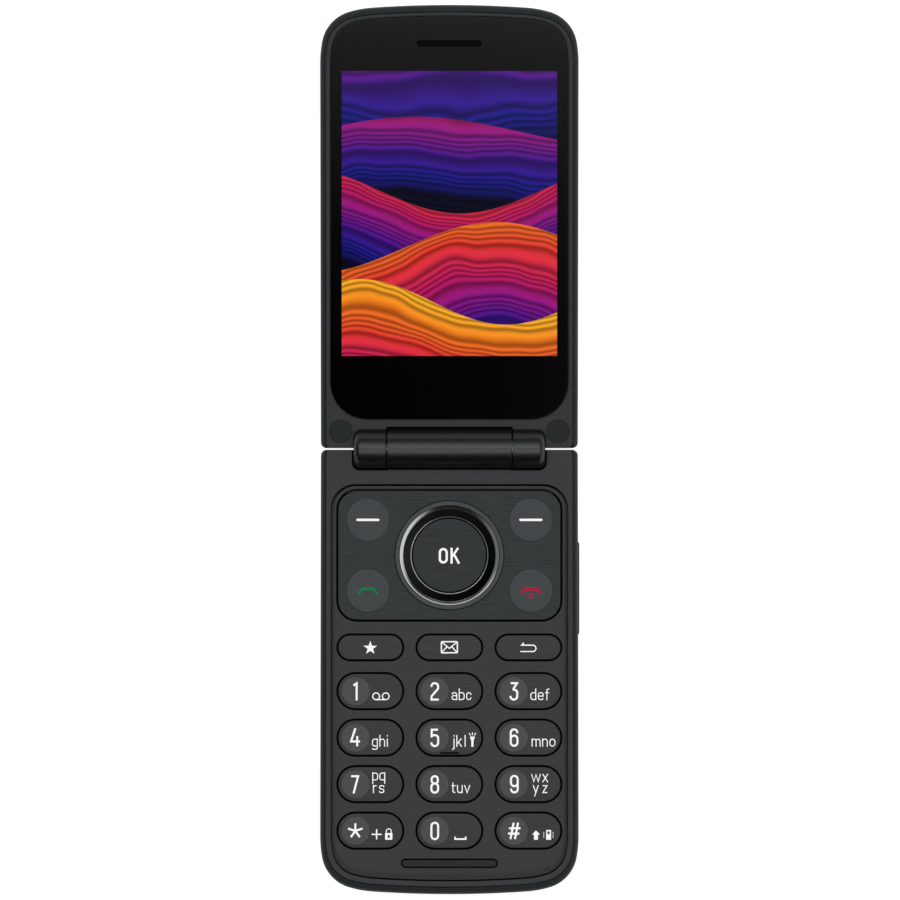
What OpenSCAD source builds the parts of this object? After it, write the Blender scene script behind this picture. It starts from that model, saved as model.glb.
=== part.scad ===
// Flip phone, open flat on its back: millimetres, X across, Y from keypad to screen, Z up.
// The hinge line is y = 0, and the battery cover's back is z = 0.

/* [Body] */
// width of both halves at the widest
body_w = 58; // [54:0.5:64]
// hinge line to the far end of each half
half_l = 100.2; // [96:0.2:106]
// open slit between the halves
fold_gap = 0.56; // [0.4:0.02:0.8]
// gap between the two rims when closed
closed_gap = 0.4; // [0.3:0.02:0.8]
// radius of the shallow arch at each end
end_r = 220; // [160:5:300]
// radius of the far corners
corner_r = 9; // [8:0.25:12]
// radius of the slow curve that leads into the sides
flank_r = 28; // [22:1:36]
// turn at which the corner becomes the slow curve, in degrees
flank_turn = 80; // [74:1:84]
// radius of the corners beside the hinge
fold_corner_r = 1.4; // [0.8:0.1:2.2]
// extra inset at the ends, per millimetre of side inset
end_extra = 0.25; // [0:0.05:0.4]
// side wall of both shells
wall = 1.9; // [1.6:0.1:2.4]
// inset of the inner housings from the outer shells
rim_inset = 1.1; // [0.9:0.05:1.4]
// depth of solid shell behind the hinge
hinge_block = 6.4; // [5.8:0.1:7.5]
// round of the back edges
back_round = 2.6; // [2:0.1:2.8]
// height over which the side curves in to the front seam
front_round = 3; // [2:0.1:3.4]

/* [Base stack] */
// battery cover thickness
cover_t = 0.9; // [0.7:0.05:1.3]
// battery thickness
battery_t = 4.6; // [4:0.1:6]
// floor of the rear housing
floor_t = 0.8; // [0.6:0.05:1.2]
// main board thickness
board_t = 0.8; // [0.6:0.05:1.2]
// height of a dome switch
dome_h = 0.3; // [0.2:0.02:0.4]
// silicone membrane thickness
membrane_t = 0.3; // [0.2:0.05:0.6]
// travel of a key
key_travel = 0.3; // [0.2:0.02:0.35]
// retaining flange of a key
flange_t = 0.35; // [0.25:0.05:0.6]
// keypad deck thickness
deck_t = 0.95; // [0.8:0.05:1.4]
// depth of the keypad below the rim
deck_recess = 0.5; // [0.4:0.05:0.8]

/* [Lid stack] */
// main lens thickness
lens_t = 0.95; // [0.7:0.05:1.4]
// main display thickness
display_t = 2.15; // [1.6:0.05:2.8]
// lid circuit board thickness
lid_board_t = 0.7; // [0.5:0.05:1]
// outer display thickness
outer_display_t = 1.7; // [1.2:0.05:2.2]
// outer cover thickness
outer_cover_t = 1.1; // [0.9:0.05:1.5]
// height of the lid's inner frame
frame_h = 2.4; // [2:0.1:3]

/* [Hinge] */
// radius of barrel and knuckles
barrel_r = 4.3; // [3.9:0.05:4.6]
// side of the body to the knuckle ends
knuckle_side = 7.4; // [7.4:0.1:9]
// half length of the centre barrel with its gap
seam_x = 14.15; // [13.4:0.05:15]
// gap between barrel and knuckle
seam_gap = 0.25; // [0.2:0.01:0.4]
// round of the knuckle ends
knuckle_round = 1.2; // [0.6:0.1:1.6]
// clearance of the lid round the centre barrel
lid_trough_gap = 0.75; // [0.4:0.05:0.9]
// clearance of the base round the knuckles
base_trough_gap = 0.37; // [0.25:0.02:0.6]
// bore of the centre barrel
bore_r = 3; // [2.8:0.05:3.2]
// running clearance of shafts
run_gap = 0.05; // [0.02:0.01:0.08]

/* [Screen] */
// lens inset from the outline
lens_inset = 2; // [1.7:0.05:2.4]
// hinge line to the lens
lens_y = 6.86; // [6.4:0.05:8]
// lower corners of the lens
lens_corner_r = 8.3; // [6:0.1:10]
// display module from the side
display_side = 3.4; // [3.2:0.05:5]
// display module height, as a share of the half's length
display_share = 0.6986; // [0.66:0.0002:0.71]
// place of the display's middle, as a share of the half's length
display_mid_share = 0.5304; // [0.52:0.0002:0.54]
// earpiece slot length
ear_l = 14.8; // [12:0.1:16]
// earpiece slot height
ear_h = 1.4; // [1:0.05:1.8]
// earpiece beyond the display
ear_past = 3.35; // [3.3:0.05:4]
// radius of the screw caps
cap_r = 2.6; // [2.2:0.05:2.65]
// screw caps from the side
cap_side = 4.5; // [4:0.05:4.6]
// screw caps from the hinge line
cap_y = 4; // [3.6:0.05:4.4]

/* [Keypad] */
// deck inset from the outline
deck_inset = 2.25; // [2:0.05:2.6]
// hinge line to the deck
deck_y = 7.97; // [7.6:0.05:8.6]
// corners of the deck by the hinge
deck_corner_r = 5.6; // [4:0.1:7]
// navigation panel from the side
panel_side = 3.9; // [3.7:0.05:4.5]
// navigation panel height, as a share of the half's length
panel_share = 0.2904; // [0.284:0.0002:0.294]
// navigation panel corners
panel_r = 4.3; // [3.4:0.1:5]
// place of the navigation ring's middle, as a share of the half's length
nav_share = 0.2395; // [0.2385:0.0001:0.2405]
// outer radius of the navigation ring
ring_r = 12.25; // [11.8:0.05:12.4]
// radius of the OK key
ok_r = 8.3; // [7.6:0.05:8.3]
// radius of the four corner keys
round_key_r = 4.88; // [4.4:0.02:4.9]
// corner keys from the middle line, as a share of the width
round_key_share = 0.3172; // [0.314:0.0002:0.324]
// corner keys above and below the ring's middle, as a share of the panel
round_key_rise = 0.2749; // [0.265:0.0001:0.282]
// key width, as a share of the body's width
key_share = 0.2509; // [0.238:0.0001:0.255]
// digit key height
digit_l = 7.75; // [7.2:0.05:8.2]
// function key height
function_l = 5.4; // [4.9:0.05:5.7]
// spacing of key columns, as a share of the body's width
col_share = 0.3078; // [0.304:0.0002:0.31]
// spacing of digit rows, as a share of the half's length
row_share = 0.1048; // [0.103:0.0001:0.106]
// place of the function keys, as a share of the half's length
function_share = 0.4461; // [0.443:0.0001:0.449]
// place of the first digit row, as a share of the half's length
digit_share = 0.5449; // [0.541:0.0001:0.549]
// gap round a key
key_gap = 0.3; // [0.2:0.02:0.4]
// key tops above the deck
key_proud = 0.2; // [0.1:0.02:0.3]
// edge chamfer of the keys
key_cut = 0.25; // [0.1:0.02:0.35]
// bumper length
bumper_l = 21.3; // [18:0.1:24]
// bumper width
bumper_w = 1.6; // [1.6:0.02:2.4]
// bumper from the far end
bumper_end = 6.65; // [6.2:0.05:6.9]
// volume key length
volume_l = 21; // [18:0.1:22]
// volume key height
volume_h = 2.6; // [2:0.05:3]
// place of the volume key, as a share of the half's length
volume_share = 0.3154; // [0.3:0.0002:0.33]
// volume key beyond the side
volume_proud = 0.32; // [0.2:0.02:0.5]

/* [Inside] */
// battery width
battery_w = 44; // [40:0.5:46]
// battery length, as a share of the half's length
battery_share = 0.5389; // [0.5:0.0001:0.5389]
// place of the battery's middle, as a share of the half's length
battery_mid_share = 0.6188; // [0.617:0.0001:0.62]
// outer screen lens width
outer_lens_w = 32; // [26:0.5:38]
// outer screen lens length
outer_lens_l = 38; // [32:0.5:42]
// place of the outer screen's middle, as a share of the half's length
outer_share = 0.4591; // [0.44:0.0001:0.48]
// camera window radius
camera_r = 4; // [3.4:0.1:4.6]
// place of the camera, as a share of the half's length
camera_share = 0.7984; // [0.78:0.0002:0.82]
// charging socket width
socket_w = 8.94; // [8.7:0.02:9.2]
// charging socket height
socket_h = 3.26; // [3.1:0.02:3.4]
// screw shank radius
screw_r = 0.7; // [0.6:0.02:0.8]

/* [Devices] */
// well for the devices, from the sides
well_side = 5; // [4.8:0.1:6]
// length of that well, from the battery
well_l = 24.9; // [24.5:0.1:25]
// battery to the devices' middle
device_back = 14; // [13.5:0.1:14]
// devices from the middle line
device_middle = 2.1; // [1.8:0.1:2.6]
// shield can length
can_l = 20; // [16:0.5:20.5]
// shield can height
can_h = 1.7; // [1.2:0.1:1.8]
// card holder length
card_l = 18; // [16:0.5:19]
// card holder height
card_h = 1.4; // [1.2:0.05:1.6]
// loudspeaker length
speaker_l = 14; // [12:0.5:15]
// loudspeaker height
speaker_h = 3.2; // [2.6:0.1:3.3]
// loudspeaker from the middle line
speaker_middle = 6; // [5:0.25:7]
// sound slot length
slot_l = 9; // [7:0.5:10]
// sound slot width
slot_w = 1; // [0.8:0.05:1.2]
// spacing of the sound slots
slot_pitch = 2.4; // [2:0.1:2.6]
// battery contact block width
contact_w = 11; // [9:0.5:12]
// battery contact block height
contact_h = 3.6; // [3:0.1:3.7]
// spacing of the battery contacts
contact_pitch = 3.6; // [3:0.1:4]
// microphone width
mic_w = 3.8; // [3:0.1:4.2]
// microphone length
mic_l = 3; // [2.5:0.1:3.4]
// microphone height
mic_h = 1.2; // [0.9:0.05:1.4]
// vibration motor radius
motor_r = 2; // [1.7:0.05:2]
// vibration motor length
motor_l = 8; // [7:0.25:8.5]
// charging socket depth
socket_d = 7.4; // [6.8:0.1:7.6]
// metal of the charging socket
socket_t = 0.3; // [0.2:0.02:0.4]
// earpiece speaker length
ear_speaker_l = 6; // [5:0.1:6.2]
// earpiece speaker height
ear_speaker_h = 2.2; // [1.8:0.1:2.4]
// outer screen lens thickness
outer_lens_t = 0.7; // [0.5:0.05:0.8]
// outer screen lens corners
outer_lens_r = 2.9; // [2:0.1:4]
// camera module side
camera_w = 8.5; // [7.5:0.1:9]
// camera barrel radius
camera_barrel_r = 2.6; // [2.2:0.05:2.7]
// camera window thickness
camera_t = 0.5; // [0.4:0.05:0.6]
// torch lens radius
torch_r = 1.8; // [1.4:0.05:2]
// torch from the middle line
torch_x = 9; // [8:0.1:10]
// closing magnet width
magnet_w = 8; // [6:0.25:9]
// closing magnet length
magnet_l = 3; // [2:0.1:3.2]
// closing magnet height
magnet_h = 2; // [1.5:0.1:2.2]
// closing magnet from the middle line
magnet_x = 15; // [14.5:0.1:16]

/* [Hidden] */
fit = 0.05;
slack = 0.1;
big = 300;
past = 1;
half_w = body_w/2;
edge_y = fold_gap/2;

// Places along the halves and across them.
barrel_half = half_w - knuckle_side;
knuckle_wall = 1.6;
knuckle_end = barrel_half - knuckle_wall;
display_w = body_w - 2*display_side;
display_l = display_share*half_l;
display_y = display_mid_share*half_l;
ear_y = display_y + display_l/2 + ear_past;
ear_speaker_w = ear_l + 1.2;
ear_speaker_r = 1.2;
cap_x = half_w - cap_side;
panel_w = body_w - 2*panel_side;
panel_l = panel_share*half_l;
nav_y = nav_share*half_l;
round_key_x = round_key_share*body_w;
round_key_dy = round_key_rise*panel_l;
key_w = key_share*body_w;
col_pitch = col_share*body_w;
row_pitch = row_share*half_l;
function_y = function_share*half_l;
digit_y = digit_share*half_l;
bumper_y = half_l - bumper_end;
volume_y = volume_share*half_l;
battery_l = battery_share*half_l;
battery_y = battery_mid_share*half_l;
battery_side = battery_y - battery_l/2;
outer_y = outer_share*half_l;
camera_y = camera_share*half_l;
well_gap = 0.15;
well_w = body_w - 2*well_side;
well_y = battery_side - well_gap - well_l/2;
devices_y = battery_side - device_back;
device_edge = 1.3;
device_w = well_w/2 - device_edge - device_middle;
device_x = device_middle + device_w/2;
speaker_edge = 2;
speaker_w = well_w/2 - speaker_edge - speaker_middle;
speaker_x = speaker_middle + speaker_w/2;
end_back = 5.7;
end_devices_y = half_l - end_back;
end_well_side = 11;
end_well_l = 6.4;
floor_cut = 4;
socket_hole_d = 10;
socket_gap = 0.15;
mic_hole_r = 0.5;
mic_hole_d = 4;
open_y = -20;
open_corner_r = 0.5;
sheet_y0 = 10;
sheet_end = 9.8;
sheet_y1 = half_l - sheet_end;
sheet_side = 3.5;
sheet_w = body_w - 2*sheet_side;
sheet_t = 0.08;
board_gap = 1.4;
board_end = 1.2;
board_edge = 0.2;
boss_gap = 0.3;

battery_corner_r = 2;
battery_z = cover_t + slack;
floor_z = battery_z + battery_t + slack;
board_z = floor_z + floor_t + slack;
dome_z = board_z + board_t;
membrane_z = dome_z + dome_h + fit;
rocker_room = 0.2;
flange_z = membrane_z + membrane_t + key_travel + rocker_room + fit;
deck_z = flange_z + flange_t + fit;
deck_top = deck_z + deck_t;
rim_z = deck_top + deck_recess;
axis_z = rim_z + closed_gap/2;
rim_cut = 0.15;
seam_step = 0.2;
shell_top = rim_z - rim_cut;
cover_top = back_round;
key_top = deck_top + key_proud;

lens_top = rim_z - fit;
lens_z = lens_top - lens_t;
display_z = lens_z - fit - display_t;
lid_board_z = display_z - slack - lid_board_t;
outer_display_z = lid_board_z - 3*slack - outer_display_t;
lid_z = outer_display_z - slack - outer_cover_t;
lid_inside = lid_z + outer_cover_t;
frame_z = rim_z - frame_h;

panel_proud = 0.1;
panel_lip = 0.7;
panel_wall = 0.5;
ring_gap = 0.15;
panel_top = deck_top + panel_proud;
ring_proud = 0.3;
ring_top = deck_top + ring_proud;
round_key_proud = 0.15;
nub_h = 0.2;
nub_r = 1.2;
ok_nub_r = 1.5;
lip = 0.4;
ring_z = flange_z + flange_t;
ok_gap = 0.25;
ring_bore = ok_r + ok_gap;
pad_gap = 0.6;
pad_bore = ok_r + lip + pad_gap;
pad_t = 0.25;
pad_inset = 1.65;
dome_r = [2.3, 1.2];
rocker_dome_inset = 2.2;
volume_drop = 1.65;
volume_z = board_z - volume_drop;
volume_lip_l = 0.7;
volume_lip_h = 0.5;
volume_lip_t = 0.55;
volume_root = 0.3;
volume_gap = 0.2;
volume_reach = 1.2;
volume_room_d = 1.6;
bumper_sunk = 0.4;
bumper_gap = 0.15;
socket_z = board_z - socket_h/2 - fit;
base_screw_side = [3.9, 6.4];
base_screw_x = half_w*[1, 1] - base_screw_side;
base_screw_y = [4.6, half_l - 6];
head_r = 1.3;
head_h = 0.8;
boss_r = 1.8;
cap_t = 0.5;
screw_bite = 0.3;

// The hinge cartridge along its axis: case, spring, cam and shaft, then the lid's square socket.
shaft_r = 0.9;
neck_r = 1.4;
key_side = 3;
key_fit = 0.03;
bush_r = 2.2;
bush_bore_r = 1.5;
bush_seat = 3;
case_wall = 0.6;
case_floor = 0.8;
case_end = 4;
case_start = 0.4;
spring_gap = 0.3;
cam_x1 = -9;
cam_x0 = cam_x1 - 2.2;
disc_x1 = cam_x0 - 0.4;
disc_x0 = disc_x1 - 1.8;
neck_x = disc_x0 - 1.2;

$fn = 48;

shell_colour = [0.17, 0.18, 0.19];
frame_colour = [0.25, 0.26, 0.27];
key_colour = [0.3, 0.31, 0.32];
glass_colour = [0.03, 0.03, 0.04];
metal_colour = [0.7, 0.7, 0.72];
board_colour = [0.1, 0.35, 0.2];
rubber_colour = [0.12, 0.12, 0.13];

// The outline is an end arch, a corner and a slow flank, each tangent to the next.
end_turn = asin((half_w - flank_r - (corner_r - flank_r)*sin(flank_turn))/(end_r - corner_r));
end_c = [0, half_l - end_r];
corner_c = end_c + (end_r - corner_r)*[sin(end_turn), cos(end_turn)];
flank_c = corner_c + (corner_r - flank_r)*[sin(flank_turn), cos(flank_turn)];

function flip(p) = [-p.x, p.y];
function arc(c, r, a, b, n) = [for (i = [1:n]) let (t = a + (b - a)*i/n) c + r*[sin(t), cos(t)]];

// One half's outline, inset from the sides and far end, and starting y0 from the hinge line.
function outline(inset, y0 = edge_y, r0 = fold_corner_r) =
    let (
        drop = [0, -end_extra*inset],
        x = half_w - inset - r0,
        y = y0 + r0
    )
    concat(
        arc(flank_c + drop, flank_r - inset, 90, flank_turn, 3),
        arc(corner_c + drop, corner_r - inset, flank_turn, end_turn, 8),
        arc(end_c + drop, end_r - inset, end_turn, -end_turn, 6),
        arc(flip(corner_c) + drop, corner_r - inset, -end_turn, -flank_turn, 8),
        arc(flip(flank_c) + drop, flank_r - inset, -flank_turn, -90, 3),
        [[-x - r0, y]],
        arc([-x, y], r0, -90, -180, 4),
        [[x, y - r0]],
        arc([x, y], r0, 180, 90, 4)
    );

// A flat plate on the outline.
module plate(inset, z0, z1, y0 = edge_y, r0 = fold_corner_r) {
    translate([0, 0, z0])
        linear_extrude(z1 - z0)
            polygon(outline(inset, y0, r0));
}

// A solid through outlines at several heights, each level being height, inset and hinge inset.
module slab(levels) {
    rings = [for (l = levels) [for (p = outline(l[1], edge_y + l[2])) [p.x, p.y, l[0]]]];
    n = len(rings[0]);
    m = len(levels);
    sides = [for (j = [0:m - 2]) for (i = [0:n - 1]) let (k = (i + 1) % n)
        [j*n + i, (j + 1)*n + i, (j + 1)*n + k, j*n + k]];
    bottom = [for (i = [0:n - 1]) i];
    top = [for (i = [0:n - 1]) m*n - 1 - i];
    polyhedron(points = [for (r = rings) each r], faces = concat([bottom, top], sides));
}

function back_levels(z) = [for (a = [0, 35, 62, 90])
    [z + back_round*(1 - cos(a)), back_round*(1 - sin(a)), back_round*(1 - sin(a))]];
function front_levels(z) = [for (a = [0, 35, 62, 90])
    [z - front_round*(1 - sin(a)), (rim_inset - seam_step)*(1 - cos(a)), 0]];

function rim_levels(z) = [
    [z, rim_inset + fit, 0],
    [rim_z - rim_cut, rim_inset + fit, 0],
    [rim_z, rim_inset + fit + rim_cut, slack]
];

module to_base() {
    mirror([0, 1, 0])
        children();
}

// A cylinder along the hinge axis.
module axle(r, x0, x1) {
    translate([x0, 0, axis_z])
        rotate([0, 90, 0])
            cylinder(r = r, h = x1 - x0);
}

// A round-ended bar in X with a chamfered top edge.
module pill(l, w, h, cut = 0) {
    if (cut > 0) {
        rotate([90, 0, 90])
            translate([0, 0, -(l - w)/2])
                linear_extrude(l - w)
                    polygon([
                        [-w/2, 0],
                        [w/2, 0],
                        [w/2, h - cut],
                        [w/2 - cut, h],
                        [cut - w/2, h],
                        [-w/2, h - cut]
                    ]);
        for (s = [-1, 1])
            translate([s*(l - w)/2, 0, 0])
                rotate_extrude()
                    polygon([[0, 0], [w/2, 0], [w/2, h - cut], [w/2 - cut, h], [0, h]]);
    } else {
        translate([-(l - w)/2, -w/2, 0])
            cube([l - w, w, h]);
        for (s = [-1, 1])
            translate([s*(l - w)/2, 0, 0])
                cylinder(d = w, h = h);
    }
}

module block(w, l, h) {
    translate([-w/2, -l/2, 0])
        cube([w, l, h]);
}

module round_block(w, l, h, r) {
    block(w - 2*r, l, h);
    block(w, l - 2*r, h);
    for (sx = [-1, 1])
        for (sy = [-1, 1])
            translate([sx*(w/2 - r), sy*(l/2 - r), 0])
                cylinder(r = r, h = h);
}

module base_screw_places() {
    for (i = [0, 1])
        for (s = [-1, 1])
            translate([s*base_screw_x[i], base_screw_y[i], 0])
                children();
}

// Keys.
module key_shape(w, l) {
    translate([0, 0, flange_z + flange_t])
        pill(w, l, key_top - flange_z - flange_t, key_cut);
    translate([0, 0, flange_z])
        pill(w + 2*lip, l + 2*lip, flange_t);
    translate([0, 0, flange_z - nub_h])
        cylinder(r = nub_r, h = nub_h);
}

module digit_key(col, row) {
    color(key_colour)
        to_base()
            translate([col*col_pitch, digit_y + row*row_pitch, 0])
                key_shape(key_w, digit_l);
}

module function_key(col) {
    color(key_colour)
        to_base()
            translate([col*col_pitch, function_y, 0])
                key_shape(key_w, function_l);
}

module round_key(sx, sy) {
    color(key_colour)
        to_base()
            translate([sx*round_key_x, nav_y + sy*round_key_dy, 0])
                rotate_extrude()
                    polygon([
                        [0, flange_z - nub_h],
                        [nub_r, flange_z - nub_h],
                        [nub_r, flange_z],
                        [round_key_r + lip, flange_z],
                        [round_key_r + lip, flange_z + flange_t],
                        [round_key_r, flange_z + flange_t],
                        [round_key_r, panel_top],
                        [round_key_r - key_cut, panel_top + round_key_proud],
                        [0, panel_top + round_key_proud]
                    ]);
}

module key_holes() {
    for (c = [-1, 0, 1]) {
        translate([c*col_pitch, function_y, 0])
            pill(key_w + 2*key_gap, function_l + 2*key_gap, rim_z);
        for (r = [0:3])
            translate([c*col_pitch, digit_y + r*row_pitch, 0])
                pill(key_w + 2*key_gap, digit_l + 2*key_gap, rim_z);
    }
}

module soft_key_left() { round_key(-1, -1); }
module soft_key_right() { round_key(1, -1); }
module call_key() { round_key(-1, 1); }
module end_key() { round_key(1, 1); }
module favourites_key() { function_key(-1); }
module message_key() { function_key(0); }
module back_key() { function_key(1); }
module key_1() { digit_key(-1, 0); }
module key_2() { digit_key(0, 0); }
module key_3() { digit_key(1, 0); }
module key_4() { digit_key(-1, 1); }
module key_5() { digit_key(0, 1); }
module key_6() { digit_key(1, 1); }
module key_7() { digit_key(-1, 2); }
module key_8() { digit_key(0, 2); }
module key_9() { digit_key(1, 2); }
module key_star() { digit_key(-1, 3); }
module key_0() { digit_key(0, 3); }
module key_hash() { digit_key(1, 3); }

module ok_key() {
    color(key_colour)
        to_base()
            translate([0, nav_y, 0])
                rotate_extrude()
                    polygon([
                        [0, flange_z - nub_h],
                        [ok_nub_r, flange_z - nub_h],
                        [ok_nub_r, flange_z],
                        [ok_r + lip, flange_z],
                        [ok_r + lip, flange_z + flange_t],
                        [ok_r, flange_z + flange_t],
                        [ok_r, key_top - key_cut],
                        [ok_r - key_cut, key_top],
                        [0, key_top]
                    ]);
}

// The ring's flat band, its bevel, and the dished glossy face inside it.
module nav_ring() {
    band = ring_r - 1.05;
    dish = band - 0.75;
    dish_z = ring_top - 0.4;
    lip_h = 0.1;
    lip_w = 0.15;
    cut = 0.15;
    foot = 0.3;
    color(key_colour)
        to_base()
            translate([0, nav_y, 0])
                rotate_extrude()
                    polygon([
                        [pad_bore, ring_z],
                        [ring_r, ring_z],
                        [ring_r, ring_top - cut],
                        [ring_r - cut, ring_top],
                        [band, ring_top],
                        [dish, dish_z],
                        [ring_bore + lip_w, dish_z + lip_h],
                        [ring_bore, dish_z],
                        [ring_bore, ring_z + foot],
                        [pad_bore, ring_z + foot]
                    ]);
}

module nav_actuator() {
    color(rubber_colour)
        to_base()
            translate([0, nav_y, flange_z - pad_t])
                difference() {
                    cylinder(r = ring_r - pad_inset, h = pad_t);
                    translate([0, 0, -past])
                        cylinder(r = pad_bore, h = 2*past);
                }
}

module volume_key() {
    color(shell_colour)
        to_base()
            translate([0, volume_y, volume_z])
                rotate([0, 90, 0])
                    rotate([0, 0, 90]) {
                        translate([0, 0, half_w - wall - volume_root])
                            pill(volume_l, volume_h, wall + volume_root + volume_proud, volume_gap);
                        translate([0, 0, half_w - wall - volume_root - volume_lip_t])
                            pill(volume_l + 2*volume_lip_l, volume_h + 2*volume_lip_h, volume_lip_t);
                    }
}

// Room in the base for the lid's knuckles.
module knuckle_troughs(past) {
    for (s = [0, 1])
        mirror([s, 0, 0])
            axle(barrel_r + base_trough_gap, seam_x - past, barrel_half + 0.4);
}

// Base housings.
module rear_housing() {
    color(shell_colour)
        to_base()
            difference() {
                slab(concat([[cover_top + fit, 0, 0]], front_levels(shell_top)));
                plate(wall, cover_top - past, floor_z, edge_y + hinge_block);
                plate(wall, floor_z + floor_t, deck_z + past, edge_y + hinge_block);
                plate(rim_inset, deck_z, rim_z + past, open_y, open_corner_r);
                axle(barrel_r + fit, -seam_x - seam_gap, seam_x + seam_gap);
                knuckle_troughs(seam_gap);
                translate([0, well_y, floor_z - past])
                    block(well_w, well_l, floor_cut);
                translate([0, end_devices_y, floor_z - past])
                    block(body_w - 2*end_well_side, end_well_l, floor_cut);
                translate([0, half_l - socket_hole_d, socket_z])
                    rotate([-90, 0, 0])
                        pill(socket_w + 2*socket_gap, socket_h + 2*socket_gap, 2*socket_hole_d);
                translate([half_w - wall - volume_reach, volume_y, volume_z])
                    volume_room();
                base_screw_places()
                    translate([0, 0, -past])
                        cylinder(r = screw_r + fit, h = rim_z);
                base_screw_places()
                    translate([0, 0, -past])
                        cylinder(r = head_r + slack, h = floor_z + past);
                translate([speaker_x, half_l - mic_hole_d, board_z - mic_h/2])
                    rotate([-90, 0, 0])
                        cylinder(r = mic_hole_r, h = 2*mic_hole_d);
            }
}

module volume_room() {
    rotate([0, 90, 0])
        rotate([0, 0, 90]) {
            pill(volume_l + 2*volume_gap, volume_h + 2*volume_gap, wall + 2*volume_reach);
            translate([0, 0, volume_reach - volume_room_d])
                pill(volume_l + 2*volume_lip_l + 4*volume_gap, volume_h + 2*volume_lip_h + 3*volume_gap,
                    volume_room_d);
        }
}

module keypad_housing() {
    color(frame_colour)
        to_base() {
            difference() {
                slab(rim_levels(deck_z));
                plate(deck_inset, deck_top, rim_z + past, deck_y, deck_corner_r);
                key_holes();
                translate([0, nav_y, 0])
                    round_block(panel_w + 2*key_gap, panel_l + 2*key_gap, rim_z, panel_r + key_gap);
                translate([0, bumper_y, deck_top - bumper_sunk])
                    pill(bumper_l + 2*bumper_gap, bumper_w + 2*bumper_gap, 2);
                knuckle_troughs(seam_gap/2);
                axle(bore_r, -seam_x, seam_x);
                base_screw_places()
                    cylinder(r = screw_r + fit, h = deck_top - screw_bite);
            }
            difference() {
                axle(barrel_r, -seam_x + seam_gap/2, seam_x - seam_gap/2);
                axle(bore_r, -big, seam_x - bush_seat);
                axle(bush_r + run_gap, 0, big);
            }
            translate([0, base_screw_y[1], 0])
                for (s = [-1, 1])
                    translate([s*base_screw_x[1], 0, floor_z + floor_t])
                        difference() {
                            cylinder(r = boss_r, h = deck_z - floor_z - floor_t + fit);
                            translate([0, 0, -past])
                                cylinder(r = screw_r + fit, h = deck_z);
                        }
        }
}

module battery_cover() {
    color(shell_colour)
        to_base()
            difference() {
                slab(back_levels(0));
                plate(wall, cover_t, cover_top + past, edge_y + hinge_block);
                for (i = [-2:2])
                    translate([speaker_x + i*slot_pitch, devices_y, -past])
                        rotate([0, 0, 90])
                            pill(slot_l, slot_w, floor_cut);
            }
}

module battery() {
    color([0.2, 0.22, 0.25])
        to_base()
            translate([0, battery_y, battery_z])
                round_block(battery_w, battery_l, battery_t, battery_corner_r);
}

module panel_hollow() {
    translate([0, 0, -past])
        round_block(panel_w - 2*panel_wall, panel_l - 2*panel_wall, 3*past, panel_r - panel_wall);
}

module nav_panel() {
    color(frame_colour)
        to_base()
            difference() {
                union() {
                    translate([0, nav_y, deck_z])
                        round_block(panel_w, panel_l, panel_top - deck_z, panel_r);
                    translate([0, nav_y, flange_z])
                        difference() {
                            round_block(panel_w + 2*panel_lip, panel_l + 2*panel_lip, flange_t,
                                panel_r + panel_lip);
                            panel_hollow();
                        }
                    translate([0, nav_y, flange_z])
                        difference() {
                            round_block(panel_w, panel_l, deck_z - flange_z + fit, panel_r);
                            panel_hollow();
                        }
                }
                translate([0, nav_y, 0])
                    cylinder(r = ring_r + ring_gap, h = rim_z);
                for (sx = [-1, 1])
                    for (sy = [-1, 1])
                        translate([sx*round_key_x, nav_y + sy*round_key_dy, 0])
                            cylinder(r = round_key_r + slack, h = rim_z);
            }
}

module keypad_membrane() {
    color(rubber_colour)
        to_base()
            translate([0, (sheet_y0 + sheet_y1)/2, membrane_z])
                block(sheet_w, sheet_y1 - sheet_y0, membrane_t);
}

module dome() {
    cylinder(r1 = dome_r[0], r2 = dome_r[1], h = dome_h);
}

module dome_sheet() {
    color(metal_colour)
        to_base()
            translate([0, 0, dome_z]) {
                translate([0, (sheet_y0 + sheet_y1)/2, 0])
                    block(sheet_w, sheet_y1 - sheet_y0, sheet_t);
                for (c = [-1, 0, 1]) {
                    translate([c*col_pitch, function_y, 0])
                        dome();
                    for (r = [0:3])
                        translate([c*col_pitch, digit_y + r*row_pitch, 0])
                            dome();
                }
                for (sx = [-1, 1])
                    for (sy = [-1, 1])
                        translate([sx*round_key_x, nav_y + sy*round_key_dy, 0])
                            dome();
                for (a = [0:90:270])
                    translate([0, nav_y, 0])
                        rotate([0, 0, a])
                            translate([ring_r - rocker_dome_inset, 0, 0])
                                dome();
                translate([0, nav_y, 0])
                    dome();
            }
}

module main_board() {
    color(board_colour)
        to_base()
            difference() {
                intersection() {
                    plate(wall + board_gap, board_z, board_z + board_t, edge_y + hinge_block + board_end);
                    translate([0, half_l/2, 0])
                        block(sheet_w + 2*board_edge, half_l, rim_z);
                }
                translate([0, base_screw_y[1], 0])
                    for (s = [-1, 1])
                        translate([s*base_screw_x[1], 0, 0])
                            cylinder(r = boss_r + boss_gap, h = rim_z);
            }
}

module shield_can() {
    color(metal_colour)
        to_base()
            translate([device_x, devices_y, board_z - can_h])
                block(device_w, can_l, can_h);
}

module battery_contacts() {
    contact_l = 1.6;
    blade = [1, 0.5, 1.6];
    back = 1.3;
    blade_z = 1;
    reach = (contact_l + blade.y)/2 - 0.15;
    color([0.8, 0.65, 0.3])
        to_base()
            translate([0, battery_side - back, board_z - contact_h]) {
                block(contact_w, contact_l, contact_h);
                for (i = [-1, 0, 1])
                    translate([i*contact_pitch, reach, blade_z])
                        block(blade.x, blade.y, blade.z);
            }
}

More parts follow.
